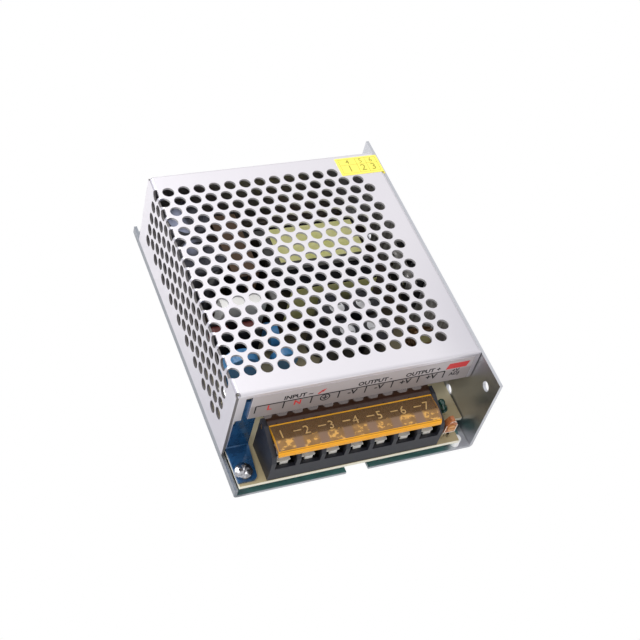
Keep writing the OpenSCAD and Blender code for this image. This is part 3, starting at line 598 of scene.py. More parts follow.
@dataclass(frozen=True)
class BoardFinish(Finish):
    """Circuit board: tan face, paler at its front edge as painted light and dark towards the rear
    as painted shade, pale cut edges, green lacquer underneath.
    """

    top_z: float = 6.3
    under_z: float = 4.8
    weave: RGB = (0.5, 0.42, 0.24)
    # Painted light near the front edge, then painted shade towards the rear.
    tan: RGB = (0.72, 0.64, 0.42)
    lit_front_y: Spot = (-49.0, -43.0)
    rear_shade: RGB = (0.06, 0.04, 0.026)
    rear_shade_y: Spot = (-36.0, 6.0)
    cut: RGB = (0.8, 0.76, 0.62)
    lacquer: RGB = (0.14, 0.5, 0.42)

    def layers(self, g: Graph) -> list[Layer]:
        """Adds the weave, the painted light at the front and painted shade towards the rear, its
        edges and its underside.

        Args:
            g: The material's graph.

        Returns:
            The layers, lowest first.
        """
        y = g.place("Y")
        weave = g.noise((0.5, 0.5, 3.0), 2.0, 0.5) * 0.35
        edge = g.place("Z").within(self.under_z + 0.02, self.top_z - 0.02)
        return [
            Layer(weave, self.weave),
            # Painted light at the front edge and painted shade towards the rear.
            Layer(y.ramp(*self.lit_front_y), self.tan),
            Layer(y.ramp(*self.rear_shade_y), self.rear_shade),
            Layer(edge, self.cut),
            Layer(g.facing("Z") < -0.5, self.lacquer),
        ]


@dataclass(frozen=True)
class FuseFinish(Finish):
    """Glass tube between two tinned caps."""

    middle: float = -30.0
    half_glass: float = 4.4
    glass: RGB = (0.9, 0.95, 0.95)

    def build(self, name: str) -> bpy.types.Material:
        """Makes the material.

        Args:
            name: Its name.

        Returns:
            The material.
        """
        g = Graph.material(name)
        glassy = g.place("Y").within(self.middle - self.half_glass, self.middle + self.half_glass)
        tube = g.surface(
            {"Base Color": self.glass, "Roughness": g.noise(4.0) * 0.1,
             "Transmission Weight": 0.9, "IOR": 1.45}
        )
        return g.close(g.mix(glassy, self.surface(g), tube))


@dataclass(frozen=True)
class LidFinish:
    """Smoky amber plastic: hazy see-through panels with painted glints and painted reflection bands
    on the slope, and bends and edges with a painted glow.
    """

    rear_bend: Spot = (-52.0, 22.6)
    slope_y: Spot = (-57.9, -59.4)
    front_y: float = -62.65
    line_z: Spot = (21.25, 21.58)
    ends: Spot = (-34.65, 29.65)
    first_wall: float = -35.75
    clear_near: RGB = (0.95, 0.78, 0.55)
    clear_far: RGB = (0.9, 0.7, 0.45)
    smoke: RGB = (0.17, 0.095, 0.04)
    thin_smoke: RGB = (0.26, 0.15, 0.07)
    # Painted light on the slope: a copper-brown patch with glints before each screw, and reflection
    # bands between the screws.
    copper: RGB = (0.55, 0.3, 0.1)
    painted_reflection: RGB = (0.3, 0.185, 0.12)
    painted_glint: RGB = (0.9, 0.5, 0.13)
    # Colours of the painted glow on the bends and edges.
    glow: RGB = (0.78, 0.36, 0.012)
    pale_glow: RGB = (0.84, 0.4, 0.02)
    line: RGB = (0.42, 0.16, 0.01)

    def build(self, name: str) -> bpy.types.Material:
        """Makes the material.

        Args:
            name: Its name.

        Returns:
            The material.
        """
        g = Graph.material(name)
        haze = g.noise(5.0, 3.0, 0.6)
        slope = (-g.place("Y")).ramp(-self.slope_y[0], -self.slope_y[1])
        clear = g.surface(
            {"Base Color": g.blend(haze, self.clear_near, self.clear_far),
             "Roughness": haze * 0.06 + 0.03, "Transmission Weight": 1.0, "IOR": 1.3}
        )
        smoky = g.surface(
            {"Base Color": self.panel(g, haze, slope), "Roughness": haze * 0.1 + 0.2, "IOR": 1.35}
        )
        # Painted glow: the bends and edges are coloured bright and emit light, though they are no
        # lamp.
        glow = g.blend(haze, self.glow, self.pale_glow)
        bright = g.surface(
            {"Base Color": g.blend(g.place("Z").within(*self.line_z), glow, self.line),
             "Roughness": haze * 0.1 + 0.15, "Emission Color": self.glow, "Emission Strength": 0.12,
             "IOR": 1.3, "Coat Weight": 0.15}
        )
        body = g.mix(slope * 0.12 + haze * 0.1 + 0.55, clear, smoky)
        return g.close(g.mix(self.edges(g), body, bright))

    def panel(self, g: Graph, haze: Sock, slope: Sock) -> Sock:
        """Works out the smoky part's colour.

        Args:
            g: The material's graph.
            haze: Soft noise.
            slope: 1 on the sloped front panel, 0 on the top panel.

        Returns:
            Smoke, and on the slope painted glints on a copper-brown patch before each screw, with
            painted reflection bands between them.
        """
        # Painted glints before the screws and painted reflection bands between them.
        glint = g.noise((2.2, 1.5, 2.0), 2.0, 0.6).ramp(0.52, 0.62)
        across = g.math("FRACT", (g.place("X") - self.first_wall) * (1.0 / TERMINAL_PITCH), 0.0)
        between = abs(across - 0.5).ramp(0.25, 0.37)
        over_screw = g.blend(glint, g.blend(haze, self.smoke, self.copper), self.painted_glint)
        sloped = g.blend(between, over_screw, self.painted_reflection)
        return g.blend(slope, g.blend(haze * 0.4, self.smoke, self.thin_smoke), sloped)

    def edges(self, g: Graph) -> Sock:
        """Finds the bends and edges where a glow is painted, for the light they gather.

        Args:
            g: The material's graph.

        Returns:
            How far the glow hides the panels, from 0 to 1.
        """
        x, y, z = g.place("X"), g.place("Y"), g.place("Z")
        bend_y, bend_z = self.rear_bend
        rear = (abs(y - bend_y) < 0.5) & (z > bend_z - 0.75)
        sides = (x < self.ends[0] + 0.3) | (x > self.ends[1] - 0.3)
        sides = sides & (z > bend_z - 1.2)
        return (y < self.front_y) * 0.95 | rear * 0.8 | sides * 0.6


@dataclass(frozen=True)
class TrimmerFinish(Finish):
    """Orange face with a narrow pale rim, on a black foot."""

    centre: float = 35.6
    half: float = 3.1
    low: float = 11.5
    high: float = 18.1
    shoulder: float = 0.76
    worn: RGB = (0.2, 0.06, 0.02)
    rim: RGB = (0.8, 0.68, 0.56)
    foot: RGB = (0.01, 0.01, 0.01)

    def layers(self, g: Graph) -> list[Layer]:
        """Adds the rim, the worn patches and the foot.

        Args:
            g: The material's graph.

        Returns:
            The layers, lowest first.
        """
        off, z = abs(g.place("X") - self.centre), g.place("Z")
        rim = (off > self.half - 0.32) | (z < self.low + 0.35)
        rim = rim | (off * self.shoulder + z > self.high - 0.05)
        rim = rim & (g.facing("Y") < -0.5)
        patch = g.noise(0.9, 2.0, 0.5).ramp(0.45, 0.6)
        foot = z < self.low - 0.02
        return [Layer(patch * 0.7, self.worn), Layer(rim, self.rim), Layer(foot, self.foot)]


@dataclass(frozen=True)
class LabelFinish(Finish):
    """Matt silvery strip, paler in its heading band."""

    heading_z: Spot = (31.2, 32.7)
    heading: RGB = (0.47, 0.43, 0.43)

    def layers(self, g: Graph) -> list[Layer]:
        """Returns the heading band."""
        return [Layer(g.place("Z").ramp(*self.heading_z), self.heading)]


Recipes = dict[str, Finish | LidFinish]


@dataclass(frozen=True)
class Shop:
    """Makes each finish once and hands it out by name."""

    recipes: Recipes
    made: dict[str, bpy.types.Material] = field(default_factory=dict)

    def get(self, name: str) -> bpy.types.Material:
        """Finds a material, and makes it on first use.

        Args:
            name: The recipe's name.

        Returns:
            The material.
        """
        if name not in self.made:
            self.made[name] = self.recipes[name].build(name)
            LOG.info("material %s", name)
        return self.made[name]


# ---- meshes


def box_mm(node: str) -> tuple[Vector, Vector]:
    """Returns a CAD node's lowest and highest corner in millimetres."""
    low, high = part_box(node)
    return low / MM, high / MM


def terminal_places() -> list[float]:
    """Finds the terminals.

    Returns:
        The X of each one's middle in millimetres, from left to right.
    """
    low, high = box_mm("terminal_block")
    first = (low.x + high.x) / 2 - (TERMINALS - 1) / 2 * TERMINAL_PITCH
    return [first + k * TERMINAL_PITCH for k in range(TERMINALS)]


def put(name: str, data: bpy.types.ID) -> bpy.types.Object:
    """Puts something in the scene.

    Args:
        name: The object's name.
        data: Its mesh, curve, camera or light.

    Returns:
        The object.
    """
    made = bpy.data.objects.new(name, data)
    bpy.context.scene.collection.objects.link(made)
    return made


class Sheaf:
    """Gathers many small shapes of one material into one mesh piece."""

    steps_round = 24
    capital = 1.42

    def __init__(
        self, name: str, plane: Plane = Plane.TOP, at: Point = (0, 0, 0), deep: float = 0.0
    ) -> None:
        """Starts empty.

        Args:
            name: The piece's name.
            plane: The flat place that its shapes lie on.
            at: Where the plane's right and up start, in millimetres.
            deep: Thickness of the shapes, towards the viewer of the plane.
        """
        self.name = name
        self.right, self.up = (Vector(v) for v in plane.value)
        self.out = self.right.cross(self.up)
        self.at = Vector(at)
        self.deep = deep
        self.bm = bmesh.new()

    def block(self, low: Point, high: Point) -> None:
        """Adds a box between two corners, in millimetres."""
        for v in bmesh.ops.create_cube(self.bm, size=1.0)["verts"]:
            v.co = Vector([(a + b) / 2 + c * (b - a) for a, b, c in zip(low, high, v.co)])

    def prism(self, outline: list[Spot]) -> None:
        """Adds a flat shape with thickness.

        Args:
            outline: Corners on the plane, in millimetres.
        """
        spots = [self.at + self.right * a + self.up * b for a, b in outline]
        lower = [self.bm.verts.new(p) for p in spots]
        upper = [self.bm.verts.new(p + self.out * self.deep) for p in spots]
        self.bm.faces.new(list(reversed(lower)))
        self.bm.faces.new(upper)
        for i in range(len(spots)):
            j = (i + 1) % len(spots)
            self.bm.faces.new([lower[i], lower[j], upper[j], upper[i]])

    def stroke(self, a: Spot, b: Spot, wide: float) -> None:
        """Adds a straight line between two points of the plane.

        Args:
            a: Where it starts.
            b: Where it ends.
            wide: Its width.
        """
        way = Vector((b[0] - a[0], b[1] - a[1]))
        side = Vector((-way.y, way.x)).normalized() * (wide / 2)
        self.prism(
            [(a[0] - side.x, a[1] - side.y), (b[0] - side.x, b[1] - side.y),
             (b[0] + side.x, b[1] + side.y), (a[0] + side.x, a[1] + side.y)]
        )

    def ring(self, middle: Spot, radius: float, wide: float) -> None:
        """Adds a ring of short strokes.

        Args:
            middle: Its centre on the plane.
            radius: Radius of the line's middle.
            wide: The line's width.
        """
        turns = [2 * math.pi * k / self.steps_round for k in range(self.steps_round + 1)]
        x, y = middle
        spots = [(x + radius * math.cos(t), y + radius * math.sin(t)) for t in turns]
        for a, b in zip(spots, spots[1:]):
            self.stroke(a, b, wide)

    def text(
        self, words: str, size: float, middle: Spot, bold: float = 0.0, tilt: float = 0.0
    ) -> None:
        """Adds lettering.

        Args:
            words: What it says.
            size: Height of a capital, roughly, in millimetres.
            middle: Centre of the words on the plane.
            bold: Extra width of the strokes, in millimetres.
            tilt: Turn about the plane's right, in radians.
        """
        curve = bpy.data.curves.new("words", "FONT")
        curve.body = words
        curve.size = size * self.capital
        curve.align_x = curve.align_y = "CENTER"
        curve.extrude = self.deep / 2
        curve.offset = bold
        curve.resolution_u = 2
        holder = put("words", curve)
        bpy.context.view_layer.update()
        shown = holder.evaluated_get(bpy.context.evaluated_depsgraph_get())
        mesh = bpy.data.meshes.new_from_object(shown)
        flat = Matrix((self.right, self.up, self.out)).transposed()
        turn = Matrix.Rotation(tilt, 3, self.right) @ flat
        spot = self.at + self.right * middle[0] + self.up * middle[1]
        raised = turn @ Vector((0, 0, self.deep / 2))
        mesh.transform(Matrix.Translation(spot + raised) @ turn.to_4x4())
        self.bm.from_mesh(mesh)
        bpy.data.objects.remove(holder)
        bpy.data.curves.remove(curve)
        bpy.data.meshes.remove(mesh)

    def finish(self, material: bpy.types.Material, body: Body, slot: str) -> None:
        """Closes the mesh and puts the piece in the scene.

        Args:
            material: What it is made of.
            body: The CAD body it rides on.
            slot: Not used.
        """
        for v in self.bm.verts:
            v.co *= MM
        bmesh.ops.recalc_face_normals(self.bm, faces=self.bm.faces)
        mesh = bpy.data.meshes.new(self.name)
        self.bm.to_mesh(mesh)
        self.bm.free()
        mesh.materials.append(material)
        piece = put(self.name, mesh)
        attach(piece, body.value)
        LOG.info("piece %s: %d faces", self.name, len(mesh.polygons))


# ---- printed marks


@dataclass(frozen=True)
class LabelPrint:
    """Marks on the label strip over the terminals."""

    ink: float = 0.03
    line: float = 0.5
    line_z: float = 31.7
    foot: float = 4.0
    left: float = -40.1
    pitch: float = 10.6
    cells: tuple = ("L", "N", "earth", "-V", "-V", "+V", "+V")
    cell_size: float = 2.7
    cell_drop: float = 2.1
    headings: tuple = ((15.6, "INPUT ~"), (45.3, "OUTPUT -"), (64.7, "OUTPUT +"))
    heading_size: float = 2.1
    heading_rise: float = 1.9
    trimmer_words: tuple = ((0.6, "+V"), (2.6, "ADJ"))
    trimmer_size: float = 1.8

    def build(self, shop: Shop) -> None:
        """Makes the black and the red print.

        Args:
            shop: Gives the inks.
        """
        at = (0.0, box_mm("fascia_label")[0].y, 0.0)
        black = Sheaf("label_print_dark", Plane.FRONT, at, self.ink)
        red = Sheaf("label_print_red", Plane.FRONT, at, self.ink)
        self.table(black, red)
        for x, words in self.headings:
            middle = (self.left + x, self.line_z + self.heading_rise)
            black.text(words, self.heading_size, middle, bold=0.09)
        self.signs(black, red)
        black.finish(shop.get("ink_dark"), Body.ROOT, "label")
        red.finish(shop.get("ink_red"), Body.ROOT, "label")

    def table(self, black: Sheaf, red: Sheaf) -> None:
        """Rules a cell over each terminal and says what it is for.

        Args:
            black: The black print.
            red: The red print.
        """
        edges = [self.left + self.pitch * k for k in range(len(self.cells) + 1)]
        black.stroke((edges[0], self.line_z), (edges[-1], self.line_z), self.line)
        for x in edges:
            black.stroke((x, self.line_z - self.foot), (x, self.line_z), self.line)
        for x, word in zip(edges, self.cells):
            middle = (x + self.pitch / 2, self.line_z - self.cell_drop)
            if word == "earth":
                self.earth(black, middle)
            else:
                (red if word in "LN" else black).text(word, self.cell_size, middle, bold=0.1)

    def earth(self, black: Sheaf, middle: Spot) -> None:
        """Draws the usual protective earth sign.

        Args:
            black: The black print.
            middle: Its centre.
        """
        x, z = middle
        black.ring(middle, 1.75, 0.42)
        black.stroke((x, z), (x, z + 1.3), 0.4)
        for half, drop in ((1.1, 0.0), (0.72, 0.5), (0.34, 1.0)):
            black.stroke((x - half, z - drop), (x + half, z - drop), 0.34)

    def signs(self, black: Sheaf, red: Sheaf) -> None:
        """Draws the arrow after the first heading, and the bar and words over the trimmer.

        Args:
            black: The black print.
            red: The red print.
        """
        x, z = self.left, self.line_z + self.heading_rise
        red.stroke((x + 23.2, z - 1.1), (x + 24.8, z + 0.4), 0.7)
        red.prism([(x + 24.0, z + 0.6), (x + 25.1, z - 0.4), (x + 26.0, z + 1.4)])
        x, z = self.left + self.pitch * len(self.cells), self.line_z
        red.prism([(x, z + 0.8), (x + 8.6, z + 0.8), (x + 9.4, z + 4.0), (x + 0.8, z + 4.0)])
        for drop, words in self.trimmer_words:
            black.text(words, self.trimmer_size, (x + 4.6, z - drop), bold=0.05)


@dataclass(frozen=True)
class LidFigures:
    """Raised figures and dashes on the lid's top panel."""

    height: float = 3.5
    raised: float = 0.12
    y: float = -56.7
    lift: float = 0.01
    rear: Spot = (-52.0, 22.6)
    front: Spot = (-58.8, 23.0)
    shift: float = -0.6
    dash: Spot = (-5.5, -2.5)
    dash_wide: float = 0.4

    def build(self, shop: Shop) -> None:
        """Makes the figures.

        Args:
            shop: Gives their material.
        """
        deep, fall = self.rear[0] - self.front[0], self.rear[1] - self.front[1]
        tilt = math.atan2(fall, deep)
        z = self.rear[1] - fall * (self.rear[0] - self.y) / deep + self.lift
        figures = Sheaf("lid_figures", Plane.TOP, (0, self.y, z), self.raised)
        for k, x in enumerate(terminal_places()):
            figures.text(str(k + 1), self.height, (x + self.shift, 0.0), tilt=tilt)
            if k:
                start, end = self.dash
                figures.stroke((x + start, 0.5), (x + end, 0.5), self.dash_wide)
        figures.finish(shop.get("lid_figures"), Body.LID, "amber_plastic")


@dataclass(frozen=True)
class SealPrint:
    """Ruled lines and plain numbers on the yellow seal."""

    ink: float = 0.008
    line: float = 0.16
    columns: tuple = (1.2, 8.6, 12.9, 17.6)
    low_line: float = 1.0
    middle_line: float = 5.6
    top_gap: float = 0.9
    numbers_x: tuple = (4.9, 10.7, 15.2)

    def build(self, shop: Shop) -> None:
        """Makes the print.

        Args:
            shop: Gives the ink.
        """
        low, high = box_mm("seal_sticker")
        top = high.y - low.y - self.top_gap
        seal = Sheaf("seal_print", Plane.TOP, (low.x, low.y, high.z), self.ink)
        for y in (self.low_line, self.middle_line, top):
            seal.stroke((self.columns[0], y), (self.columns[-1], y), self.line)
        for x in self.columns:
            seal.stroke((x, self.low_line), (x, top), self.line)
        for k, x in enumerate(self.numbers_x):
            seal.text(str(k + 1), 3.4, (x, 3.3), bold=0.06)
            seal.text(str(k + 4), 2.3, (x, 7.2), bold=0.04)
        seal.finish(shop.get("ink_olive"), Body.ROOT, "seal")


# ---- forms on the terminal block


@dataclass(frozen=True)
class LidFlap:
    """Thin flap that carries the lid's top panel on over the hinge, towards the vent cover."""

    thick: float = 0.6
    start: Spot = (-52.1, 22.55)
    reach: Spot = (-46.9, 22.8)
    rib: float = 0.5
    rib_foot: float = 0.3
    end_gap: float = 1.2

    def build(self, shop: Shop) -> None:
        """Makes the flap with a low rib along its rear edge.

        Args:
            shop: Gives its material.
        """
        low, high = box_mm("terminal_lid")
        left, right = low.x + self.end_gap, high.x - self.end_gap
        (y0, z0), (y1, z1) = self.start, self.reach
        rib_y, rib_z = y1 - self.rib, z1 + self.rib
        flap = Sheaf("lid_flap", Plane.SIDE, (left, 0.0, 0.0), right - left)
        under = [(y0, z0 - self.thick), (y1, z1 - self.thick)]
        flap.prism(under + [(y1, rib_z), (rib_y, rib_z), (rib_y - self.rib_foot, z1), (y0, z0)])
        flap.finish(shop.get("lid_flap"), Body.LID, "amber_plastic")


@dataclass(frozen=True)
class LidLip:
    """Rounded finger lip along the lower front edge of the lid."""

    front: float = -63.6
    back: float = -62.98
    top: float = 20.7
    foot: float = 19.3
    corner: float = 0.15
    lid_gap: float = 0.3
    block_gap: float = 2.1

    def build(self, shop: Shop) -> None:
        """Makes the lip.

        Args:
            shop: Gives its material.
        """
        lid, block = box_mm("terminal_lid"), box_mm("terminal_block")
        left = max(lid[0].x + self.lid_gap, block[0].x + self.block_gap)
        right = min(lid[1].x - self.lid_gap, block[1].x - self.block_gap)
        low_z = self.foot + self.corner
        round_foot = [(self.front + self.corner, self.foot), (self.back - self.corner, self.foot)]
        upper = [(self.back, low_z), (self.back, self.top), (self.front, self.top)]
        lip = Sheaf("lid_lip", Plane.SIDE, (left, 0.0, 0.0), right - left)
        lip.prism([(self.front, low_z)] + round_foot + upper)
        lip.finish(shop.get("lid_lip"), Body.LID, "amber_plastic")


@dataclass(frozen=True)
class ClampTips:
    """Front ends of the wire clamps: plates, each with a tongue bent down behind the block."""

    wide: float = 5.1
    thick: float = 0.75
    top: float = 14.5
    back: float = -60.7
    front: float = -62.3
    tongue: float = 3.0
    tongue_thick: float = 0.5
    drop: float = 1.8

    def build(self, shop: Shop) -> None:
        """Makes the tips.

        Args:
            shop: Gives their material.
        """
        tips = Sheaf("clamp_tips")
        bend = self.front + self.tongue_thick
        for x in terminal_places():
            half = self.wide / 2
            tips.block((x - half, bend, self.top - self.thick), (x + half, self.back, self.top))
            half = self.tongue / 2
            tips.block((x - half, self.front, self.top - self.drop), (x + half, bend, self.top))
        tips.finish(shop.get("clamp_tin"), Body.ROOT, "screw_steel")


# ---- stage


@dataclass(frozen=True)
class Stage:
    """Camera, floor, surroundings and lights."""

    camera_mm: Point = (-183.14, -274.47, 383.26)
    forward: Point = (0.38094, 0.54634, -0.74592)
    right: Point = (0.91224, -0.35355, 0.20693)
    lens: float = 72.01
    sensor: float = 36.0
    floor_m: float = 6.0
    floor_drop: float = 0.0002
    above: RGB = (1.0, 1.0, 1.02)
    level: RGB = (0.62, 0.62, 0.64)
    white: RGB = (1.0, 1.0, 1.0)

    def build(self) -> None:
        """Sets the stage."""
        bpy.context.scene.view_settings.view_transform = "Standard"
        self.camera()
        self.floor()
        self.world()
        self.lamp("key", (-0.45, 0.75, 0.95), (0.0, 0.02, 0.02), 0.9, 9.0)
        self.lamp("fill", (-0.8, -0.5, 0.6), (0.0, 0.0, 0.02), 0.8, 3.0)

    def camera(self) -> None:
        """Puts the camera above the front left corner."""
        data = bpy.data.cameras.new("camera")
        data.lens, data.sensor_width = self.lens, self.sensor
        data.clip_start, data.clip_end = 0.01, 50.0
        forward = Vector(self.forward).normalized()
        right = Vector(self.right)
        right = (right - forward * right.dot(forward)).normalized()
        turn = Matrix((right, right.cross(forward), -forward)).transposed().to_4x4()
        camera = put("camera", data)
        camera.matrix_world = Matrix.Translation(Vector(self.camera_mm) * MM) @ turn
        bpy.context.scene.camera = camera

    def floor(self) -> None:
        """Lays a plain pale floor."""
        half = self.floor_m / 2
        corners = [(-half, -half, 0), (half, -half, 0), (half, half, 0), (-half, half, 0)]
        mesh = bpy.data.meshes.new("floor")
        mesh.from_pydata(corners, [], [(0, 1, 2, 3)])
        g = Graph.material("floor")
        plain = g.surface({"Base Color": (0.8, 0.8, 0.8), "Roughness": 0.9})
        white = g.make("ShaderNodeEmission", {}, {"Color": self.white, "Strength": 1.0})
        mesh.materials.append(g.close(g.mix(self.seen_directly(g), plain, white)))
        floor = put("floor", mesh)
        floor.location.z = -self.floor_drop

    def seen_directly(self, g: Graph) -> Sock:
        """Returns 1 for rays from the camera, else 0."""
        return Sock(g, g.make("ShaderNodeLightPath", {}, {}).outputs["Is Camera Ray"])

    def world(self) -> None:
        """Makes soft surroundings, brighter above than at eye level, plain white to the camera."""
        world = bpy.data.worlds.new("studio")
        bpy.context.scene.world = world
        g = Graph(world)
        height = {"Value": g.axes("Generated", 1.0)["Z"], "From Min": 0.0, "From Max": 0.8}
        rise = Sock(g, g.make("ShaderNodeMapRange", {}, height).outputs["Result"])
        sky = g.blend(rise, self.level, self.above)
        soft = g.make("ShaderNodeBackground", {}, {"Color": sky})
        white = g.make("ShaderNodeBackground", {}, {"Color": self.white})
        g.close(g.mix(self.seen_directly(g), soft, white))

    def lamp(self, name: str, at: Point, aim: Point, size: float, power: float) -> None:
        """Adds one softbox.

        Args:
            name: Its name.
            at: Where it is, in metres.
            aim: What it faces.
            size: Side of the square, in metres.
            power: Watts.
        """
        data = bpy.data.lights.new(name, "AREA")
        data.size, data.energy = size, power
        lamp = put(name, data)
        lamp.location = at
        lamp.rotation_mode = "QUATERNION"
        lamp.rotation_quaternion = (Vector(aim) - Vector(at)).to_track_quat("-Z", "Y")


# ---- the whole part


# Each finish, and the CAD nodes that wear it.
WORN = {
    "chassis_sheet": "chassis",
    "cover_sheet": "vent_cover",
    "label": "fascia_label",
    "seal": "seal_sticker",
    "insulation": "insulation_sheet",
    "board": "circuit_board",
    "blue": "earth_bracket",
    "block": "terminal_block",
    "lid": "terminal_lid",
    "led": "power_led",
    "trimmer": "trimmer_body",
    "rotor": "trimmer_rotor",
    "steel": "cover_screws standoffs wire_clamps clamp_screws",
    "screw": "board_screws bracket_screw terminal_screws",
    "tinned": "terminal_contacts led_leads trimmer_pins fuse_clips transistor_leads",
    "white_plastic": "corner_spacer optocoupler",
    "black_plastic": "transformer_bobbin choke_bobbin bridge_rectifier power_transistors "
                     "controller_chip",
    "ferrite": "transformer_core choke_core",
    "tape": "transformer_coil transformer_tape",
    "choke_wire": "choke_windings",
    "film_box": "x_capacitor",
    "blue_ceramic": "y_capacitors",
    "red_ceramic": "varistor",
    "dark_ceramic": "thermistor",
    "fuse": "fuse",
    "brown_metal": "heatsink",
    "bulk_can": "bulk_capacitors",
    "out_can": "output_capacitors",
    "small_can": "small_capacitor",
    "core_paint": "toroid_core",
    "copper": "toroid_winding",
    "pad": "insulator_pads",
    "bar": "clamp_bar",
    "resistor": "resistors",
}


# Finishes that need no place from the CAD.
PLAIN: Recipes = {
    "chassis_sheet": ChassisFinish(
        (0.6, 0.61, 0.64), (0.5, 0.51, 0.54), 0.24, 1.0, grain_depth=0.0015
    ),
    "steel": Finish((0.8, 0.8, 0.82), (0.62, 0.62, 0.64), 0.18, 1.0, blot=3.0),
    # Painted shade: a darker copy of the steel, whose large dark blots stand for the shadows on the
    # screw heads.
    "screw": Finish((0.6, 0.6, 0.62), (0.1, 0.1, 0.11), 0.16, 1.0, blot=1.5, stain_share=0.75),
    "tinned": Finish((0.78, 0.76, 0.7), (0.6, 0.56, 0.48), 0.25, 1.0, blot=2.5),
    # Painted light: a brighter, less metallic copy of the tinned metal, so the clamp tips stay
    # light under the lid.
    "clamp_tin": Finish((0.95, 0.92, 0.84), (0.8, 0.77, 0.7), 0.3, 0.2, blot=2.0),
    "brown_metal": Finish((0.11, 0.062, 0.034), (0.07, 0.04, 0.024), 0.5, 0.2),
    "bar": Finish(
        (0.3, 0.29, 0.28), (0.6, 0.58, 0.56), 0.4, 0.3, blot=(9.0, 1.8, 9.0), stain_share=0.9
    ),
    "label": LabelFinish(
        (0.34, 0.3, 0.29), (0.3, 0.27, 0.27), 0.4, 0.2, blot=(20.0, 5.0, 4.0), grain_depth=0.002
    ),
    "seal": Finish((0.92, 0.8, 0.12), (0.88, 0.74, 0.1), 0.4, coat=0.3, blot=5.0),
    "ink_dark": Finish((0.012, 0.012, 0.015), (0.02, 0.02, 0.02), 0.6, ior=1.3),
    "ink_red": Finish((0.62, 0.03, 0.03), (0.5, 0.04, 0.04), 0.5),
    "ink_olive": Finish((0.36, 0.33, 0.03), (0.4, 0.36, 0.05), 0.5),
    "blue": Finish(
        (0.01, 0.06, 0.15), (0.025, 0.15, 0.36), 0.28, 0.5, coat=0.5, blot=(4.0, 4.0, 6.0),
        grain_depth=0.01, grain=1.2,
    ),
    "core_paint": Finish((0.3, 0.27, 0.12), (0.22, 0.2, 0.1), 0.4, coat=0.3),
    "insulation": Finish((0.1, 0.23, 0.21), (0.13, 0.28, 0.26), 0.3, coat=0.3),
    "black_plastic": Finish((0.012, 0.013, 0.016), (0.03, 0.03, 0.032), 0.45),
    "white_plastic": Finish((0.9, 0.9, 0.88), (0.84, 0.83, 0.8), 0.4),
    # The white box's top has a painted glow.
    "film_box": FilmBoxFinish((0.92, 0.92, 0.9), (0.86, 0.85, 0.82), 0.35),
    # Painted highlight: the raised figures are a lighter copy of the lid's amber plastic.
    "lid_figures": Finish(
        (0.62, 0.4, 0.15), (0.34, 0.22, 0.1), 0.2, coat=0.5, blot=2.0, stain_share=0.8
    ),
    # Painted shade: the flap is a near-black copy of the lid's amber plastic.
    "lid_flap": Finish(
        (0.05, 0.02, 0.01), (0.035, 0.014, 0.008), 0.06, 0.3, rough_spread=0.04, coat=1.0,
        ior=1.9, grain_depth=0.0005,
    ),
    # Painted glow: a bright orange copy of the lid's plastic that emits light though it is no lamp.
    "lid_lip": Finish(
        (0.78, 0.36, 0.012), (0.55, 0.22, 0.01), 0.18, coat=0.2, ior=1.3, blot=(6.0, 2.0, 0.5),
        extra=(("Emission Color", (0.8, 0.33, 0.02, 1.0)), ("Emission Strength", 0.08)),
    ),
    "led": Finish(
        (0.0, 0.06, 0.04), (0.0, 0.1, 0.06), 0.12, coat=0.7, extra=(("Transmission Weight", 0.3),)
    ),
    "rotor": Finish((0.6, 0.3, 0.1), (0.5, 0.2, 0.06), 0.35),
    "pad": Finish((0.5, 0.5, 0.52), (0.42, 0.42, 0.44), 0.6),
    "ferrite": Finish(
        (0.006, 0.006, 0.008), (0.012, 0.012, 0.014), 0.75, ior=1.15, grain_depth=0.02
    ),
    "copper": Finish(
        (0.26, 0.15, 0.07), (0.16, 0.09, 0.045), 0.35, 0.6, coat=0.4, grain=(4.0, 4.0, 0.45),
        grain_depth=0.08,
    ),
    "choke_wire": Finish(
        (0.15, 0.022, 0.018), (0.1, 0.015, 0.012), 0.35, coat=0.3, grain=(4.0, 0.45, 4.0),
        grain_depth=0.08,
    ),
    "blue_ceramic": Finish((0.07, 0.28, 0.58), (0.04, 0.2, 0.46), 0.3, coat=0.5),
    "red_ceramic": Finish((0.2, 0.02, 0.015), (0.26, 0.04, 0.03), 0.4),
    "dark_ceramic": Finish((0.02, 0.03, 0.02), (0.05, 0.05, 0.04), 0.5),
    "resistor": Finish((0.5, 0.38, 0.22), (0.44, 0.32, 0.18), 0.4, coat=0.3),
}


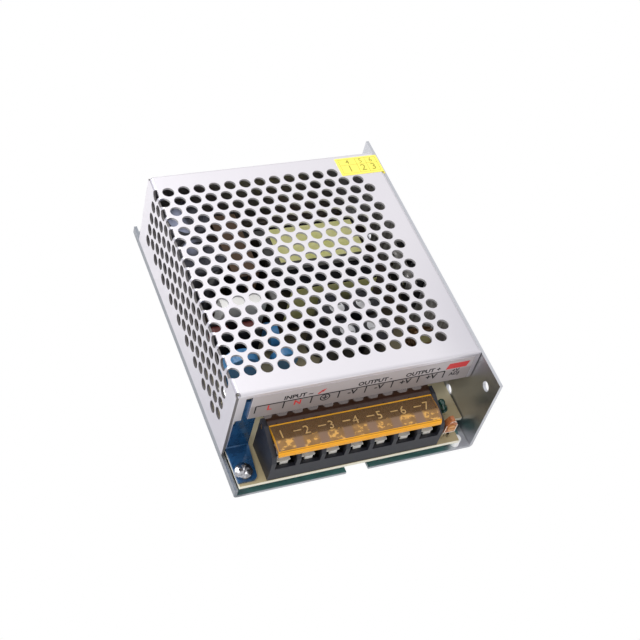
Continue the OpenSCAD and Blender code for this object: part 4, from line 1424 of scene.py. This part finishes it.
@dataclass(frozen=True)
class PowerSupply:
    """Finishes of the CAD nodes, and the marks that go on them."""

    nodes: dict[str, bpy.types.Object]
    trimmer_leg: float = 4.9
    bulk_spread: Spot = (0.0, 9.25)
    out_spread: Spot = (5.5, 5.5)
    tape_margins: Spot = (3.0, 2.9)
    lid_end: float = 1.4

    def build(self) -> None:
        """Dresses the nodes and lays the marks."""
        shop = Shop(PLAIN | self.sized())
        self.dress(shop)
        for part in (LabelPrint(), LidFigures(), SealPrint(), LidFlap(), LidLip(), ClampTips()):
            part.build(shop)

    def dress(self, shop: Shop) -> None:
        """Gives each CAD node its finish.

        Args:
            shop: Gives the materials.
        """
        finish_of = {node: finish for finish, nodes in WORN.items() for node in nodes.split()}
        for name, node in self.nodes.items():
            material = shop.get(finish_of[name])
            node.data.materials.clear()
            node.data.materials.append(material)
            LOG.info("node %s wears %s", name, material.name)

    def sized(self) -> Recipes:
        """Makes the recipes that take a place or a size from the CAD.

        Returns:
            Name to recipe.
        """
        cover, board = box_mm("vent_cover"), box_mm("circuit_board")
        block, lid = box_mm("terminal_block"), box_mm("terminal_lid")
        low, high = box_mm("trimmer_body")
        fuse, tape, coil = box_mm("fuse"), box_mm("transformer_tape"), box_mm("transformer_coil")
        ends = (coil[0].y + self.tape_margins[0], tape[1].y - self.tape_margins[1])
        navy = (0.02, 0.02, 0.04)
        return {
            "cover_sheet": CoverFinish(
                (0.825, 0.8, 0.83), (0.745, 0.72, 0.755), 0.3, 1.0, rough_spread=0.14,
                grain_depth=0.0015, left=cover[0].x, top=cover[1].z, front=cover[0].y,
            ),
            "board": BoardFinish(
                (0.42, 0.34, 0.19), (0.5, 0.42, 0.26), 0.45, top_z=board[1].z, under_z=board[0].z
            ),
            "block": BlockFinish(
                (0.011, 0.012, 0.018), (0.02, 0.021, 0.03), 0.42, blot=10.0,
                grain_depth=0.01, sides=(block[0].x, block[1].x),
            ),
            "lid": LidFinish(ends=(lid[0].x + self.lid_end, lid[1].x - self.lid_end)),
            "trimmer": TrimmerFinish(
                (0.42, 0.13, 0.04), (0.55, 0.22, 0.08), 0.4, centre=(low.x + high.x) / 2,
                half=(high.x - low.x) / 2, low=board[1].z + self.trimmer_leg, high=high.z,
            ),
            "tape": TapeFinish(
                (0.6, 0.6, 0.2), (0.74, 0.71, 0.36), 0.3, coat=0.3, blot=6.0,
                stain_share=0.9, grain_depth=0.02, grain=(4.0, 0.6, 4.0), ends=ends, top=tape[1].z,
            ),
            "fuse": FuseFinish(
                (0.8, 0.8, 0.82), (0.7, 0.7, 0.7), 0.2, 1.0, middle=(fuse[0].y + fuse[1].y) / 2
            ),
            # The bulk cans get the painted bluish sheen on the left of their tops.
            "bulk_can": self.can(
                "bulk_capacitors", (0.02, 0.02, 0.026), (0.035, 0.035, 0.05),
                spread=self.bulk_spread, bare_r=7.6, metal_colour=(0.07, 0.07, 0.085),
                brushed_colour=(0.035, 0.035, 0.045), sheen_x=-37.0,
            ),
            "out_can": self.can(
                "output_capacitors", (0.012, 0.012, 0.016), (0.02, 0.02, 0.028),
                spread=self.out_spread, bare_r=2.9, metal_colour=(0.97, 0.97, 0.97),
                brushed_colour=(0.8, 0.8, 0.82),
            ),
            "small_can": self.can("small_capacitor", navy, navy, bare_r=2.2),
        }

    def can(self, node: str, colour: RGB, stain: RGB, **more: object) -> CanFinish:
        """Makes the recipe of one group of cans.

        Args:
            node: The CAD node they are in.
            colour: Colour of the sleeve.
            stain: Its second colour.
            more: Other fields of the finish.

        Returns:
            The recipe.
        """
        low, high = box_mm(node)
        more |= {"top_z": high.z, "middle": tuple((low + high).xy / 2)}
        return CanFinish(colour, stain, 0.3, coat=0.2, rough_spread=0.1, **more)


def main() -> None:
    """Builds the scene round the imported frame."""
    logging.basicConfig(level=logging.INFO, format="%(name)s: %(message)s")
    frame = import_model()
    Stage().build()
    PowerSupply(frame["nodes"]).build()


if __name__ == "__main__":
    main()
